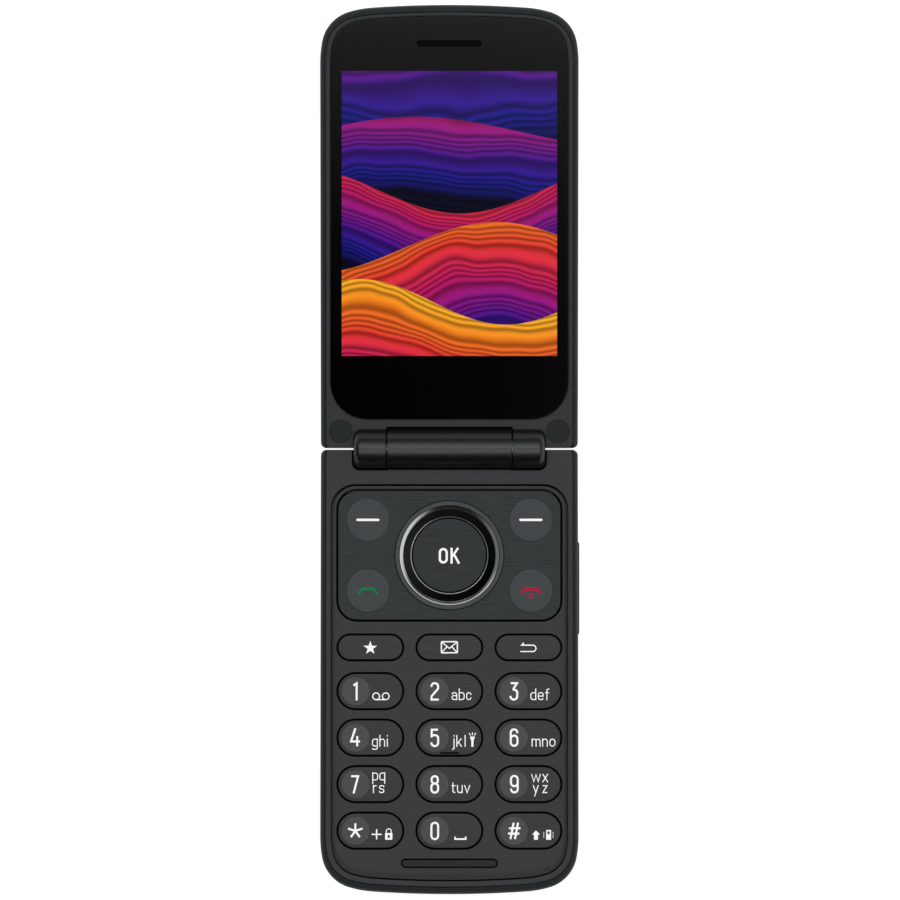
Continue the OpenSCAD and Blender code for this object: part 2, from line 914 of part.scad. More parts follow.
module sim_holder() {
    rail = 2.3;
    rest = 3;
    base_t = 0.3;
    card_t = 0.8;
    color(metal_colour)
        to_base()
            translate([-device_x, devices_y, board_z - card_h])
                difference() {
                    block(device_w, card_l, card_h);
                    translate([0, -rest, base_t])
                        block(device_w - 2*rail, card_l, card_t);
                }
}

module loudspeaker() {
    mouth = [11, 8, 0.4];
    color([0.15, 0.15, 0.16])
        to_base()
            translate([speaker_x, devices_y, cover_t + slack])
                difference() {
                    block(speaker_w, speaker_l, speaker_h);
                    translate([0, 0, -past])
                        pill(mouth.x, mouth.y, past + mouth.z);
                }
}

module microphone() {
    color(metal_colour)
        to_base()
            translate([speaker_x, end_devices_y, board_z - mic_h])
                block(mic_w, mic_l, mic_h);
}

// A motor with a half-round weight on its spindle.
module vibration_motor() {
    motor_x = 16.5;
    shift = 0.2;
    spindle_r = 0.5;
    weight_r = motor_r - slack;
    weight_l = 2.4;
    weight_gap = 1;
    color(metal_colour)
        to_base()
            translate([-motor_x, end_devices_y - shift, board_z - motor_r - slack])
                rotate([0, 90, 0]) {
                    cylinder(r = motor_r, h = motor_l);
                    translate([0, 0, motor_l])
                        cylinder(r = spindle_r, h = weight_gap + spindle_r);
                    translate([0, 0, motor_l + weight_gap])
                        intersection() {
                            cylinder(r = weight_r, h = weight_l);
                            translate([0, -3, -past])
                                cube([3, 6, 6]);
                        }
                    translate([0, 0, motor_l + weight_gap])
                        cylinder(r = spindle_r, h = weight_l);
                }
}

module usb_socket() {
    back = 0.9;
    tongue_w = 6.6;
    tongue_t = 0.7;
    tongue_back = 1;
    color(metal_colour)
        to_base()
            translate([0, half_l - back, socket_z])
                rotate([90, 0, 0]) {
                    difference() {
                        pill(socket_w, socket_h, socket_d);
                        translate([0, 0, -past])
                            pill(socket_w - 2*socket_t, socket_h - 2*socket_t, socket_d);
                    }
                    translate([-tongue_w/2, -tongue_t/2, tongue_back])
                        cube([tongue_w, tongue_t, socket_d - 1.5*tongue_back]);
                }
}

module bumper_strip() {
    color(rubber_colour)
        to_base()
            translate([0, bumper_y, deck_top - bumper_sunk])
                pill(bumper_l, bumper_w, bumper_sunk + deck_recess + closed_gap*0.75, 2*bumper_gap);
}

module base_screws() {
    color(metal_colour)
        to_base()
            base_screw_places() {
                translate([0, 0, floor_z - head_h])
                    cylinder(r = head_r, h = head_h);
                translate([0, 0, floor_z - fit])
                    cylinder(r = screw_r, h = deck_z + screw_bite - floor_z);
            }
}

// Hinge cartridge.
module hinge_case() {
    color(metal_colour)
        difference() {
            axle(bore_r - fit, -seam_x + case_start, case_end);
            axle(bore_r - case_wall, -big, case_end - case_floor);
            axle(shaft_r + run_gap, 0, big);
        }
}

module hinge_cam() {
    color(metal_colour)
        difference() {
            axle(bore_r - case_wall - run_gap, cam_x0, cam_x1);
            axle(shaft_r + run_gap, -big, big);
        }
}

module hinge_spring() {
    turns = 8;
    coil_r = 1.65;
    wire_r = 0.24;
    x0 = cam_x1 + spring_gap;
    x1 = case_end - case_floor - spring_gap;
    steps = turns*12;
    rings = [for (i = [0:steps]) let (t = 360*i/12, x = x0 + (x1 - x0)*i/steps)
        for (k = [0:5]) let (r = coil_r + wire_r*cos(60*k))
            [x + wire_r*sin(60*k), r*cos(t), axis_z + r*sin(t)]];
    sides = [for (i = [0:steps - 1]) for (k = [0:5]) let (q = (k + 1) % 6)
        [6*i + k, 6*i + q, 6*i + 6 + q, 6*i + 6 + k]];
    ends = [[5, 4, 3, 2, 1, 0], [for (k = [0:5]) 6*steps + k]];
    color(metal_colour)
        polyhedron(points = rings, faces = concat(sides, ends));
}

module hinge_shaft() {
    overlap = 0.4;
    color(metal_colour) {
        axle(bore_r - case_wall - run_gap, disc_x0, disc_x1);
        axle(shaft_r, disc_x1 - overlap, case_end - overlap/2);
        axle(neck_r, neck_x, disc_x0 + overlap);
        translate([-knuckle_end, -key_side/2, axis_z - key_side/2])
            cube([knuckle_end + neck_x + overlap/2, key_side, key_side]);
    }
}

module hinge_bush() {
    color(metal_colour)
        difference() {
            axle(bush_r, seam_x - bush_seat + slack, knuckle_end);
            axle(bush_bore_r, 0, big);
        }
}

// Lid.
module knuckle(s) {
    mirror([s < 0 ? 1 : 0, 0, 0])
        translate([seam_x + seam_gap/2, 0, axis_z])
            rotate([0, 90, 0])
                rotate_extrude() {
                    l = barrel_half - seam_x - seam_gap/2;
                    square([barrel_r - knuckle_round, l]);
                    square([barrel_r, l - knuckle_round]);
                    intersection() {
                        translate([barrel_r - knuckle_round, l - knuckle_round])
                            circle(r = knuckle_round);
                        translate([0, l - knuckle_round])
                            square([big, big]);
                        translate([barrel_r - knuckle_round, 0])
                            square([big, big]);
                    }
                }
}

module lid_outer_cover() {
    outer_seat = 2;
    color(shell_colour)
        difference() {
            slab(concat(back_levels(lid_z), front_levels(shell_top)));
            plate(wall, lid_inside, frame_z + past, edge_y + hinge_block);
            plate(rim_inset, frame_z, rim_z + past, open_y, open_corner_r);
            axle(barrel_r + lid_trough_gap, -seam_x - seam_gap/2, seam_x + seam_gap/2);
            axle(barrel_r + fit, -barrel_half - seam_gap, barrel_half + seam_gap);
            translate([0, outer_y, lid_z - past])
                round_block(outer_lens_w + 2*slack, outer_lens_l + 2*slack, past + outer_lens_t,
                    outer_lens_r + slack);
            translate([0, outer_y, lid_z - past])
                round_block(outer_lens_w - 2*outer_seat, outer_lens_l - 2*outer_seat, floor_cut, 1.5);
            translate([0, camera_y, lid_z - past])
                cylinder(r = camera_r + slack, h = past + camera_t);
            translate([0, camera_y, lid_z - past])
                cylinder(r = camera_barrel_r + 2*slack, h = floor_cut);
            translate([torch_x, camera_y, lid_z - past])
                cylinder(r = torch_r + slack, h = floor_cut);
            for (s = [-1, 1])
                translate([s*cap_x, cap_y, lid_inside])
                    cylinder(r = screw_r + fit, h = rim_z);
        }
}

module lid_inner_frame() {
    display_gap = 0.2;
    socket_side = key_side + 2*key_fit;
    press_gap = 0.02;
    color(frame_colour)
        difference() {
            union() {
                slab(rim_levels(frame_z));
                knuckle(-1);
                knuckle(1);
            }
            plate(lens_inset - fit, lens_z, rim_z + past, lens_y - fit, lens_corner_r);
            translate([0, display_y, 0])
                block(display_w + 2*display_gap, display_l + 2*display_gap, rim_z);
            translate([0, ear_y, 0])
                block(ear_speaker_w + 1, ear_speaker_l + 6*slack, rim_z);
            axle(barrel_r + lid_trough_gap, -seam_x - seam_gap/2, seam_x + seam_gap/2);
            for (s = [-1, 1]) {
                translate([s*cap_x, cap_y, rim_z - cap_t])
                    cylinder(r = cap_r + fit, h = frame_h);
                translate([s*cap_x, cap_y, rim_z - cap_t - head_h - fit])
                    cylinder(r = head_r + slack, h = frame_h);
                translate([s*cap_x, cap_y, 0])
                    cylinder(r = screw_r + fit, h = rim_z);
            }
            translate([-knuckle_end - fit, -socket_side/2, axis_z - socket_side/2])
                cube([knuckle_end - seam_x + 2*past, socket_side, socket_side]);
            axle(bush_r + press_gap, seam_x, knuckle_end + fit);
        }
}

module screen_lens() {
    lens_gap = 0.03;
    color(glass_colour)
        difference() {
            plate(lens_inset + lens_gap, lens_z, lens_top, lens_y + lens_gap, lens_corner_r);
            translate([0, ear_y, 0])
                pill(ear_l, ear_h, rim_z);
        }
}

module display_panel() {
    color([0.5, 0.2, 0.3])
        translate([0, display_y, display_z])
            block(display_w, display_l, display_t);
}

module earpiece_speaker() {
    color([0.2, 0.2, 0.2])
        translate([0, ear_y, lens_z - fit - ear_speaker_h])
            round_block(ear_speaker_w, ear_speaker_l, ear_speaker_h, ear_speaker_r);
}

module earpiece_mesh() {
    ear_mesh_t = 0.4;
    color([0.1, 0.1, 0.1])
        translate([0, ear_y, lens_z])
            pill(ear_l - slack, ear_h - slack, ear_mesh_t);
}

module lid_circuit_board() {
    side_in = 2.6;
    end_in = 2;
    color(board_colour)
        translate([0, display_y, lid_board_z])
            block(display_w - 2*side_in, display_l - 2*end_in, lid_board_t);
}

module outer_screen_lens() {
    color(glass_colour)
        translate([0, outer_y, lid_z])
            round_block(outer_lens_w, outer_lens_l, outer_lens_t, outer_lens_r);
}

module outer_display_panel() {
    display_in = 1;
    color([0.15, 0.15, 0.2])
        translate([0, outer_y, outer_display_z])
            block(outer_lens_w - 2*display_in, outer_lens_l - 2*display_in, outer_display_t);
}

module camera_module() {
    color(glass_colour)
        translate([0, camera_y, lid_z]) {
            translate([0, 0, outer_cover_t + slack])
                block(camera_w, camera_w, outer_display_t);
            translate([0, 0, camera_t + slack])
                cylinder(r = camera_barrel_r, h = outer_cover_t);
        }
}

module camera_window() {
    color(glass_colour)
        translate([0, camera_y, lid_z])
            cylinder(r = camera_r, h = camera_t);
}

module torch_led() {
    color([0.9, 0.85, 0.6])
        translate([torch_x, camera_y, lid_z]) {
            cylinder(r = torch_r, h = outer_cover_t);
            translate([0, 0, outer_cover_t])
                block(2*torch_r, 2*torch_r, outer_display_t);
        }
}

module closing_magnet() {
    magnet_past = 0.9;
    color(metal_colour)
        translate([magnet_x, ear_y + magnet_past, lid_inside])
            block(magnet_w, magnet_l, magnet_h);
}

module lid_screws() {
    color(metal_colour)
        for (s = [-1, 1])
            translate([s*cap_x, cap_y, 0]) {
                translate([0, 0, rim_z - cap_t - head_h - fit])
                    cylinder(r = head_r, h = head_h);
                translate([0, 0, lid_inside + screw_bite])
                    cylinder(r = screw_r, h = rim_z - cap_t - head_h - lid_inside - screw_bite);
            }
}

module lid_screw_caps() {
    color(rubber_colour)
        for (s = [-1, 1])
            translate([s*cap_x, cap_y, rim_z - cap_t])
                cylinder(r = cap_r, h = cap_t);
}

rear_housing();
keypad_housing();
battery_cover();
battery();
nav_panel();
keypad_membrane();
dome_sheet();
main_board();
shield_can();
battery_contacts();
sim_holder();
loudspeaker();
microphone();
vibration_motor();
usb_socket();
bumper_strip();
base_screws();
hinge_case();
hinge_cam();
hinge_spring();
lid_outer_cover();
lid_inner_frame();
screen_lens();
display_panel();
earpiece_speaker();
earpiece_mesh();
lid_circuit_board();
outer_screen_lens();
outer_display_panel();
camera_module();
camera_window();
torch_led();
closing_magnet();
lid_screws();
lid_screw_caps();
hinge_shaft();
hinge_bush();
nav_actuator();
nav_ring();
ok_key();
soft_key_left();
soft_key_right();
call_key();
end_key();
favourites_key();
message_key();
back_key();
key_1();
key_2();
key_3();
key_4();
key_5();
key_6();
key_7();
key_8();
key_9();
key_star();
key_0();
key_hash();
volume_key();
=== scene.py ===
import bmesh
import bpy
import numpy as np
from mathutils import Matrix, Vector


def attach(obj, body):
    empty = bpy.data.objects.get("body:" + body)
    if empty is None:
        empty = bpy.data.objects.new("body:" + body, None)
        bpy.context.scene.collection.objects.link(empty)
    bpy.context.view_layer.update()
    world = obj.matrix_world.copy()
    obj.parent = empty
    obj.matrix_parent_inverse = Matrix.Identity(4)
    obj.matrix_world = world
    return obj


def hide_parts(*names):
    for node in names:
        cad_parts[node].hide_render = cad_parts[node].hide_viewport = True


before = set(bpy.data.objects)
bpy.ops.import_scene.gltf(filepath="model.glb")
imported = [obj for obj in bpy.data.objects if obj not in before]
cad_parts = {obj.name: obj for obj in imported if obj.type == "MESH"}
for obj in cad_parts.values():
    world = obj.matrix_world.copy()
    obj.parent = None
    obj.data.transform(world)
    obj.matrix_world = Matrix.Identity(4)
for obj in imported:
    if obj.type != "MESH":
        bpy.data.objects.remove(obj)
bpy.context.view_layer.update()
print("frame loaded:", len(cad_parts), "nodes")

mm = 0.001
scene = bpy.context.scene

# heights of the stacked parts, in millimetres above the back of the base
level = {
    "rim": 10.45, "deck": 9.95, "key": 10.15, "panel": 10.05, "roundKey": 10.2, "ring": 10.25,
    "flange": 8.6, "flangeTop": 8.95, "shell": 10.3, "lens": 10.4, "lensFoot": 9.45, "axis": 10.65,
    "lidBack": 3.25, "framePocket": 8.05, "deckFoot": 9.0, "coverTop": 2.6,
}
through = (8.0, 12.0)  # a cut from below the deck to above the rim

# the plan of one half: end arch, shoulder, far corner and slow flank, each tangent to the next; the flares
# are the shares by which the shells widen and lengthen towards the far end
body = {
    "halfWidth": 29.0, "length": 100.2, "edge": 0.2, "foldRadius": 1.25, "endRadius": 248.0,
    "shoulderRadius": 24.0, "shoulderTurn": 16.7, "cornerRadius": 8.67, "flankRadius": 28.0,
    "flankTurn": 80.0, "endExtra": 0.25, "endExtraOuter": 0.5, "backRound": 2.6, "frontRound": 3.0,
    "frontInset": 1.04, "flareNear": 0.0024, "flareFar": 0.0073, "flareLid": 0.0027, "flareBase": 0.0053,
}


# points of an arc: centre plus radius times (sin t, cos t), t from just past first to last
def arcRun(centre, radius, first, last, count):
    t = np.radians(first + (last - first) * np.arange(1, count + 1) / count)
    return np.stack([centre[0] + radius * np.sin(t), centre[1] + radius * np.cos(t)], 1)


# the half's plan, anticlockwise: set in by inset, and at the far end by a further share extra of it; start
# is how far from the hinge line it begins, and corner the radius of its corners there
def halfPlan(inset, start=body["edge"], corner=body["foldRadius"], extra=body["endExtra"]):
    shoulder, flank = body["shoulderTurn"], body["flankTurn"]
    aim = {a: np.array([np.sin(np.radians(a)), np.cos(np.radians(a))]) for a in (shoulder, flank)}
    flankAt = np.array([body["halfWidth"] - body["flankRadius"], 0.0])
    cornerAt = flankAt + (body["flankRadius"] - body["cornerRadius"]) * aim[flank]
    shoulderAt = cornerAt + (body["cornerRadius"] - body["shoulderRadius"]) * aim[shoulder]
    swing = body["endRadius"] - body["shoulderRadius"]
    endTurn = np.arcsin(shoulderAt[0] / swing)
    endAt = np.array([0.0, body["length"] - body["endRadius"]])
    drop = np.array([0.0, -extra * inset])
    up = drop + np.array([0.0, endAt[1] + swing * np.cos(endTurn) - shoulderAt[1]])
    end, flip = np.degrees(endTurn), np.array([-1.0, 1.0])
    # the arcs of one side: centre, radius, first turn, last turn, points
    side = [(flankAt, body["flankRadius"], 90, flank, 6),
            (cornerAt, body["cornerRadius"], flank, shoulder, 16),
            (shoulderAt, body["shoulderRadius"], shoulder, end, 6)]
    runs = [arcRun(at + up, radius - inset, first, last, n) for at, radius, first, last, n in side]
    runs += [arcRun(endAt + drop, body["endRadius"] - inset, end, -end, 16)]
    runs += [arcRun(at * flip + up, radius - inset, -last, -first, n)
             for at, radius, first, last, n in side[::-1]]
    x, y = body["halfWidth"] - inset - corner, start + corner
    runs += [np.array([[-x - corner, y]]), arcRun((-x, y), corner, -90, -180, 8)]
    runs += [np.array([[x, y - corner]]), arcRun((x, y), corner, 180, 90, 8)]
    return np.concatenate(runs)


# the base is the same plan turned over the hinge line, so its order is turned round as well
def basePlan(*sizes, **more):
    return (halfPlan(*sizes, **more) * np.array([1.0, -1.0]))[::-1]


# the shells widen a little from the hinge to the far end: x and y times one plus a small share
def flared(plan):
    def widened(*sizes):
        points = plan(*sizes, extra=body["endExtraOuter"])
        far = np.abs(points[:, 1]) / body["length"]
        longer = np.where(points[:, 1] > 0, body["flareLid"], body["flareBase"])
        wide = points[:, 0] * (1 + body["flareNear"] + body["flareFar"] * far)
        return np.stack([wide, points[:, 1] * (1 + longer)], 1)
    return widened


lidOuter, baseOuter = flared(halfPlan), flared(basePlan)


# a round-ended bar: two half circles of radius width/2 - inset
def stadium(length, width, inset=0.0, centre=(0.0, 0.0), count=20):
    t = np.radians(np.linspace(-90, 90, count))
    radius = width / 2 - inset
    right = np.stack([(length - width) / 2 + radius * np.cos(t), radius * np.sin(t)], 1)
    return np.concatenate([right, -right]) + np.array(centre)


# a rectangle with round corners: four quarter circles of radius corner - inset
def roundRect(width, length, corner, inset=0.0, centre=(0.0, 0.0), count=10):
    t = np.radians(np.linspace(0, 90, count))
    quarter = (corner - inset) * np.stack([np.cos(t), np.sin(t)], 1)
    at, flip = np.array([width / 2 - corner, length / 2 - corner]), np.array([-1.0, 1.0])
    first, second = quarter + at, quarter[:, ::-1] * flip + at * flip
    return np.concatenate([first, second, -first, -second]) + np.array(centre)


# a circle: centre plus radius times (cos t, sin t)
def circle(radius, centre=(0.0, 0.0), count=72):
    t = np.linspace(0, 2 * np.pi, count, endpoint=False)
    return radius * np.stack([np.cos(t), np.sin(t)], 1) + np.array(centre)


# quads of a grid whose columns close on themselves, and whose rows do too where closed
def gridQuads(rows, columns, closed):
    row = np.arange(rows if closed else rows - 1)[:, None]
    column = np.arange(columns)[None, :]
    nextRow, nextColumn = (row + 1) % rows, (column + 1) % columns
    quads = [row * columns + column, row * columns + nextColumn,
             nextRow * columns + nextColumn, nextRow * columns + column]
    return np.stack(quads, -1).reshape(-1, 4).tolist()


# a solid through rows of (plan curve, height), with a finish number for each band between two rows; flat
# ends close it, or its last row joins its first
def loft(rows, zones=None, closed=False):
    plans = np.stack([plan for plan, height in rows])
    heights = np.array([height for plan, height in rows])
    count, columns = plans.shape[:2]
    tall = np.broadcast_to(heights[:, None, None], (count, columns, 1))
    points = np.concatenate([plans, tall], 2).reshape(-1, 3)
    faces = gridQuads(count, columns, closed)
    zones = zones or [0] * (count if closed else count - 1)
    marks = np.repeat(zones, columns).tolist()
    if not closed:
        faces += [list(range(columns))[::-1], list(range((count - 1) * columns, count * columns))]
        marks += [zones[0], zones[-1]]
    return points, faces, marks


# a profile of (radius, height) turned about an upright line
def turned(profile, centre=(0.0, 0.0), count=96, zones=None, closed=False):
    return loft([(circle(radius, centre, count), height) for radius, height in profile], zones, closed)


# a straight solid over a plan curve, between two heights
def prism(plan, heights):
    return loft([(plan, height) for height in heights])


# the same over a circle
def drum(radius, heights, centre=(0.0, 0.0), count=96):
    return prism(circle(radius, centre, count), heights)


# swaps a shape's axes: its height becomes +X, and its plan lies in Y and Z
def alongX(shape, x=0.0, y=0.0, z=0.0):
    points = shape[0]
    return np.stack([points[:, 2] + x, points[:, 0] + y, points[:, 1] + z], 1), *shape[1:]


# its height becomes -Y, and its plan lies in X and Z
def alongY(shape, x=0.0, y=0.0, z=0.0):
    points = shape[0]
    return np.stack([points[:, 0] + x, y - points[:, 2], points[:, 1] + z], 1), *shape[1:]


# the shape with its x turned to -x
def mirrored(shape):
    return shape[0] * np.array([-1.0, 1.0, 1.0]), *shape[1:]


# a quarter round: (set in, height) pairs from the wall to the flat, so far across and so far down
def quarterRound(across, down=None, count=5):
    t = np.radians(np.linspace(0, 90, count))
    return list(zip(across * (1 - np.cos(t)), (down or across) * (np.sin(t) - 1)))


# one mesh of several shapes, with doubles merged and faces turned outwards
def rawMesh(name, shapes):
    points, faces, marks, start = [], [], [], 0
    for shapePoints, shapeFaces, shapeMarks in shapes:
        points.append(shapePoints)
        faces += [[corner + start for corner in face] for face in shapeFaces]
        marks += shapeMarks
        start += len(shapePoints)
    mesh = bpy.data.meshes.new(name)
    mesh.from_pydata((np.concatenate(points) * mm).tolist(), [], faces)
    mesh.polygons.foreach_set("material_index", marks)
    work = bmesh.new()
    work.from_mesh(mesh)
    bmesh.ops.remove_doubles(work, verts=work.verts, dist=1e-7)
    bmesh.ops.recalc_face_normals(work, faces=work.faces)
    work.to_mesh(mesh)
    work.free()
    return mesh


# cuts the cutters out of a mesh and gives the mesh that is left
def carve(mesh, cutters):
    target = bpy.data.objects.new("target", mesh)
    tool = bpy.data.objects.new("tool", rawMesh("tool", cutters))
    for solid in (target, tool):
        scene.collection.objects.link(solid)
    cut = target.modifiers.new("cut", "BOOLEAN")
    cut.object, cut.operation, cut.solver, cut.use_self = tool, "DIFFERENCE", "EXACT", True
    bpy.context.view_layer.update()
    done = bpy.data.meshes.new_from_object(target.evaluated_get(bpy.context.evaluated_depsgraph_get()))
    for solid in (target, tool):
        old = solid.data
        bpy.data.objects.remove(solid)
        bpy.data.meshes.remove(old)
    return done


# sharp: degrees between two faces past which their edge stays sharp; steep: upward share of a normal below
# which a face is a wall; hingeEnd: millimetres from the hinge line within which no face counts as one
shading = {"sharp": 32.0, "steep": 0.35, "hingeEnd": 0.8}


# a finished piece: smooth faces with sharp edges; its steep faces can take a near-black finish as painted
# shade, so that a gap reads as deep as it is
def piece(name, shapes, finishes, rides, replaces=(), cutters=(), sharp=shading["sharp"], shadeWalls=None):
    mesh = rawMesh(name, shapes)
    if cutters:
        mesh = carve(mesh, cutters)
        mesh.name = name
    for finish in finishes:
        mesh.materials.append(finish)
    # steep faces away from the hinge line get the near-black finish: painted shade on the walls of gaps
    if shadeWalls:
        count = len(mesh.polygons)
        normals, middles, marks = np.empty(3 * count), np.empty(3 * count), np.empty(count, int)
        for key, values in (("normal", normals), ("center", middles), ("material_index", marks)):
            mesh.polygons.foreach_get(key, values)
        inner = np.abs(middles[1::3]) > shading["hingeEnd"] * mm
        steep = (np.abs(normals[2::3]) < shading["steep"]) & inner
        mesh.polygons.foreach_set("material_index", np.where(steep, len(finishes), marks))
        mesh.materials.append(shadeWalls)
    mesh.shade_smooth()
    mesh.set_sharp_from_angle(angle=np.radians(sharp))
    made = bpy.data.objects.new(name, mesh)
    scene.collection.objects.link(made)
    even = made.modifiers.new("even shading", "WEIGHTED_NORMAL")
    even.keep_sharp = True
    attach(made, rides)
    if replaces:
        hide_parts(*replaces)
    return made


# sRGB hex to linear: a straight foot, then the power 2.4
def linear(hexColour):
    share = np.array([int(hexColour[i:i + 2], 16) for i in (1, 3, 5)]) / 255
    share = np.where(share <= 0.04045, share / 12.92, ((share + 0.055) / 1.055) ** 2.4)
    return (*share.tolist(), 1.0)


# adds a node with its settings and, on a ramp, its stops; an input takes a constant, or a link from an output
# or from a node's first output
def add(tree, kind, inputs=None, stops=(), **settings):
    made = tree.nodes.new("ShaderNode" + kind)
    for key, value in settings.items():
        setattr(made, key, value)
    for key, value in (inputs or {}).items():
        source = value.outputs[0] if isinstance(value, bpy.types.Node) else value
        if isinstance(source, bpy.types.NodeSocket):
            tree.links.new(source, made.inputs[key])
        else:
            made.inputs[key].default_value = source
    if stops:
        ramp = made.color_ramp.elements
        while len(ramp) < len(stops):
            ramp.new(0.5)
        for stop, (at, colour) in zip(ramp, stops):
            stop.position, stop.color = at, colour
    return made


# a new material and its empty node tree
def blank(name):
    made = bpy.data.materials.new(name)
    made.use_nodes = True
    made.node_tree.nodes.clear()
    return made, made.node_tree


# a surface with a grain: two shades mixed by a noise stretched to the grain's size in millimetres,
# which also drives a slight bump and a change of gloss
def grained(name, dark, light, grain, rough, bump, ior=1.5, specular=0.3, metallic=0.0, glow=0.0):
    made, tree = blank(name)
    place = add(tree, "TexCoord").outputs["Object"]
    scale = (1 / (np.broadcast_to(grain, 3) * mm)).tolist()
    stretch = add(tree, "Mapping", {"Vector": place, "Scale": scale})
    noise = add(tree, "TexNoise", {"Vector": stretch, "Scale": 1.0, "Detail": 3.0, "Roughness": 0.6})
    shade = add(tree, "ValToRGB", {"Fac": noise}, [(0.3, linear(dark)), (0.7, linear(light))])
    gloss = add(tree, "MapRange", {"Value": noise, "To Min": rough[0], "To Max": rough[1]})
    relief = add(tree, "Bump", {"Height": noise, "Strength": 0.5, "Distance": bump * mm})
    shader = add(tree, "BsdfPrincipled", {
        "Base Color": shade, "Roughness": gloss, "Normal": relief, "IOR": ior, "Specular IOR Level": specular,
        "Metallic": metallic, "Emission Color": shade, "Emission Strength": glow})
    add(tree, "OutputMaterial", {"Surface": shader})
    return made


plate = {"specular": 0.5, "metallic": 1.0}
# spark-eroded ABS: a fine even grain, drawn at 0.35 mm because the real 0.05 mm would not show
shellPlastic = grained("sparkErodedAbs", "#272a2b", "#2d3031", 0.35, (0.5, 0.62), 0.006, 1.2)
# satin paint over ABS: nearly even, with a faint orange peel some 0.5 mm across; glossier on the ring
satinPaint = (0.5, (0.5, 0.6), 0.004, 1.3, 0.4)
framePlastic = grained("satinPaintedAbs", "#36393a", "#3b3e40", *satinPaint)
lidPlastic = grained("satinPaintedLidAbs", "#303233", "#343637", *satinPaint)
bandPlastic = grained("satinRingBand", "#3f4445", "#464b4b", 0.5, (0.4, 0.5), 0.003, 1.35, 0.4)
# hairline-printed polycarbonate: streaks along X some 6 mm long, drawn 0.2 mm apart so that they show; those
# on the keys are paler, longer and wider apart
hairline = ((6.0, 0.2, 1.0), (0.4, 0.55), 0.012, 1.35, 0.4)
keyHairline = ((8.0, 0.24, 1.0), (0.42, 0.52), 0.008, 1.35, 0.4)
panelPlastic = grained("hairlinePolycarbonate", "#1f2526", "#333a3b", *hairline)
okPlastic = grained("hairlineCapPolycarbonate", "#1f2425", "#323738", *hairline)
keyPlastic = grained("hairlineKeyPolycarbonate", "#2d3031", "#393b3d", *keyHairline)
# smooth polycarbonate with no print: even, a little lighter, soft gloss
roundPlastic = grained("smoothKeyPolycarbonate", "#424648", "#464a4b", 0.8, (0.5, 0.6), 0.002, 1.3, 0.4)
discPlastic = grained("lightGuidePolycarbonate", "#4a4d4e", "#505253", 0.7, (0.5, 0.6), 0.001, 1.3, 0.4)
# satin silver paint on the ring's inner lip: a pale even line
lipPaint = grained("satinSilverPaint", "#a8aeb0", "#b4babb", 0.5, (0.16, 0.22), 0.001, 1.5, 0.5, 0.7)
# piano-black ABS: a mirror with the slightest waviness, 3 mm across
glossPlastic = grained("pianoBlackAbs", "#020303", "#040505", 3.0, (0.05, 0.08), 0.0005, 1.5, 0.5)
# polished chrome plate: a mirror that shows the room's bright and dark sides
chrome = grained("smokedChrome", "#d0d3d5", "#dadddf", 2.0, (0.14, 0.2), 0.0005, **plate)
# satin black ABS: deep black with one soft highlight along the barrel
barrelPlastic = grained("satinBlackAbs", "#030707", "#060a0a", 0.5, (0.32, 0.36), 0.002, 1.5, 0.62)
# moulded rubbers: dull and even, with a fine tooth 0.4 mm across
capRubber = grained("mattSilicone", "#252a2b", "#2a2f30", 0.4, (0.65, 0.75), 0.004, 1.3)
bumperRubber = grained("mouldedRubber", "#272a2b", "#2d3031", 0.4, (0.6, 0.7), 0.004, 1.3, 0.4)
# pad-printed ink: opaque and even, with a slight tooth 0.3 mm across; the white is lit a little from behind
padInk = (0.3, (0.5, 0.6), 0.001)
whiteInk = grained("whitePadInk", "#f4f5f5", "#ffffff", *padInk, 1.5, 0.2, glow=0.16)
greenInk = grained("greenPadInk", "#087c4d", "#0a8a57", *padInk, 1.3, 0.2)
redInk = grained("redPadInk", "#ac183c", "#b91f46", *padInk, 1.3, 0.2)
# black silicone, so dull that a gap reads as a dark line: the membrane and actuator, and also painted shade
# on the steep walls of gaps and on groove floors
blackSiliconeAndPaintedShade = grained("blackSiliconeAndPaintedShade", "#020202", "#040404", 0.6, (0.7, 0.8), 0.004, 1.2, 0.2)
# black solder mask: a soft gloss over a slightly uneven board
solderMask = grained("blackSolderMask", "#030404", "#060707", 1.2, (0.3, 0.4), 0.004)
# rolled steel: grey, with rolling streaks 3 mm long
rolledSteel = grained("rolledSteel", "#8f9294", "#b0b3b5", (3.0, 0.3, 0.6), (0.25, 0.4), 0.002, **plate)
# gold plate on contacts: warm, with a fine tooth
goldPlate = grained("goldPlate", "#b98b3c", "#d2a654", 0.4, (0.2, 0.35), 0.001, **plate)
# printed film round the battery: dark, half gloss
batteryWrap = grained("printedFilmWrap", "#26292d", "#31353a", 0.8, (0.35, 0.5), 0.003)
# glass-filled nylon: near black and slightly mottled
devicePlastic = grained("glassFilledNylon", "#141516", "#1e2021", 0.3, (0.5, 0.65), 0.006)
# glass over a dark display or lens: a clear reflection over near black
panelGlass = grained("displayGlass", "#08090b", "#0d0e11", 6.0, (0.08, 0.12), 0.0005, 1.5, 0.5)
# clear polycarbonate over a yellow phosphor: pale and glossy
torchPlastic = grained("clearTorchLens", "#d9d2a8", "#efe9c8", 0.5, (0.15, 0.25), 0.002, 1.5, 0.5)
print("materials ready")


# rows of a shell's back edge: a quarter circle that pulls in all round, at the hinge side too
def backRows(plan, z):
    turns = np.radians(np.linspace(0, 90, 9))
    rounds = [(body["backRound"] * (1 - np.sin(a)), body["backRound"] * (1 - np.cos(a))) for a in turns]
    return [(plan(inset, body["edge"] + inset), z + up) for inset, up in rounds]


# rows of its long curve up to the front seam: a quarter of an ellipse
def frontRows(plan, z):
    turns = np.radians(np.linspace(0, 90, 10))
    return [(plan(body["frontInset"] * (1 - np.cos(a))), z - body["frontRound"] * (1 - np.sin(a)))
            for a in turns]


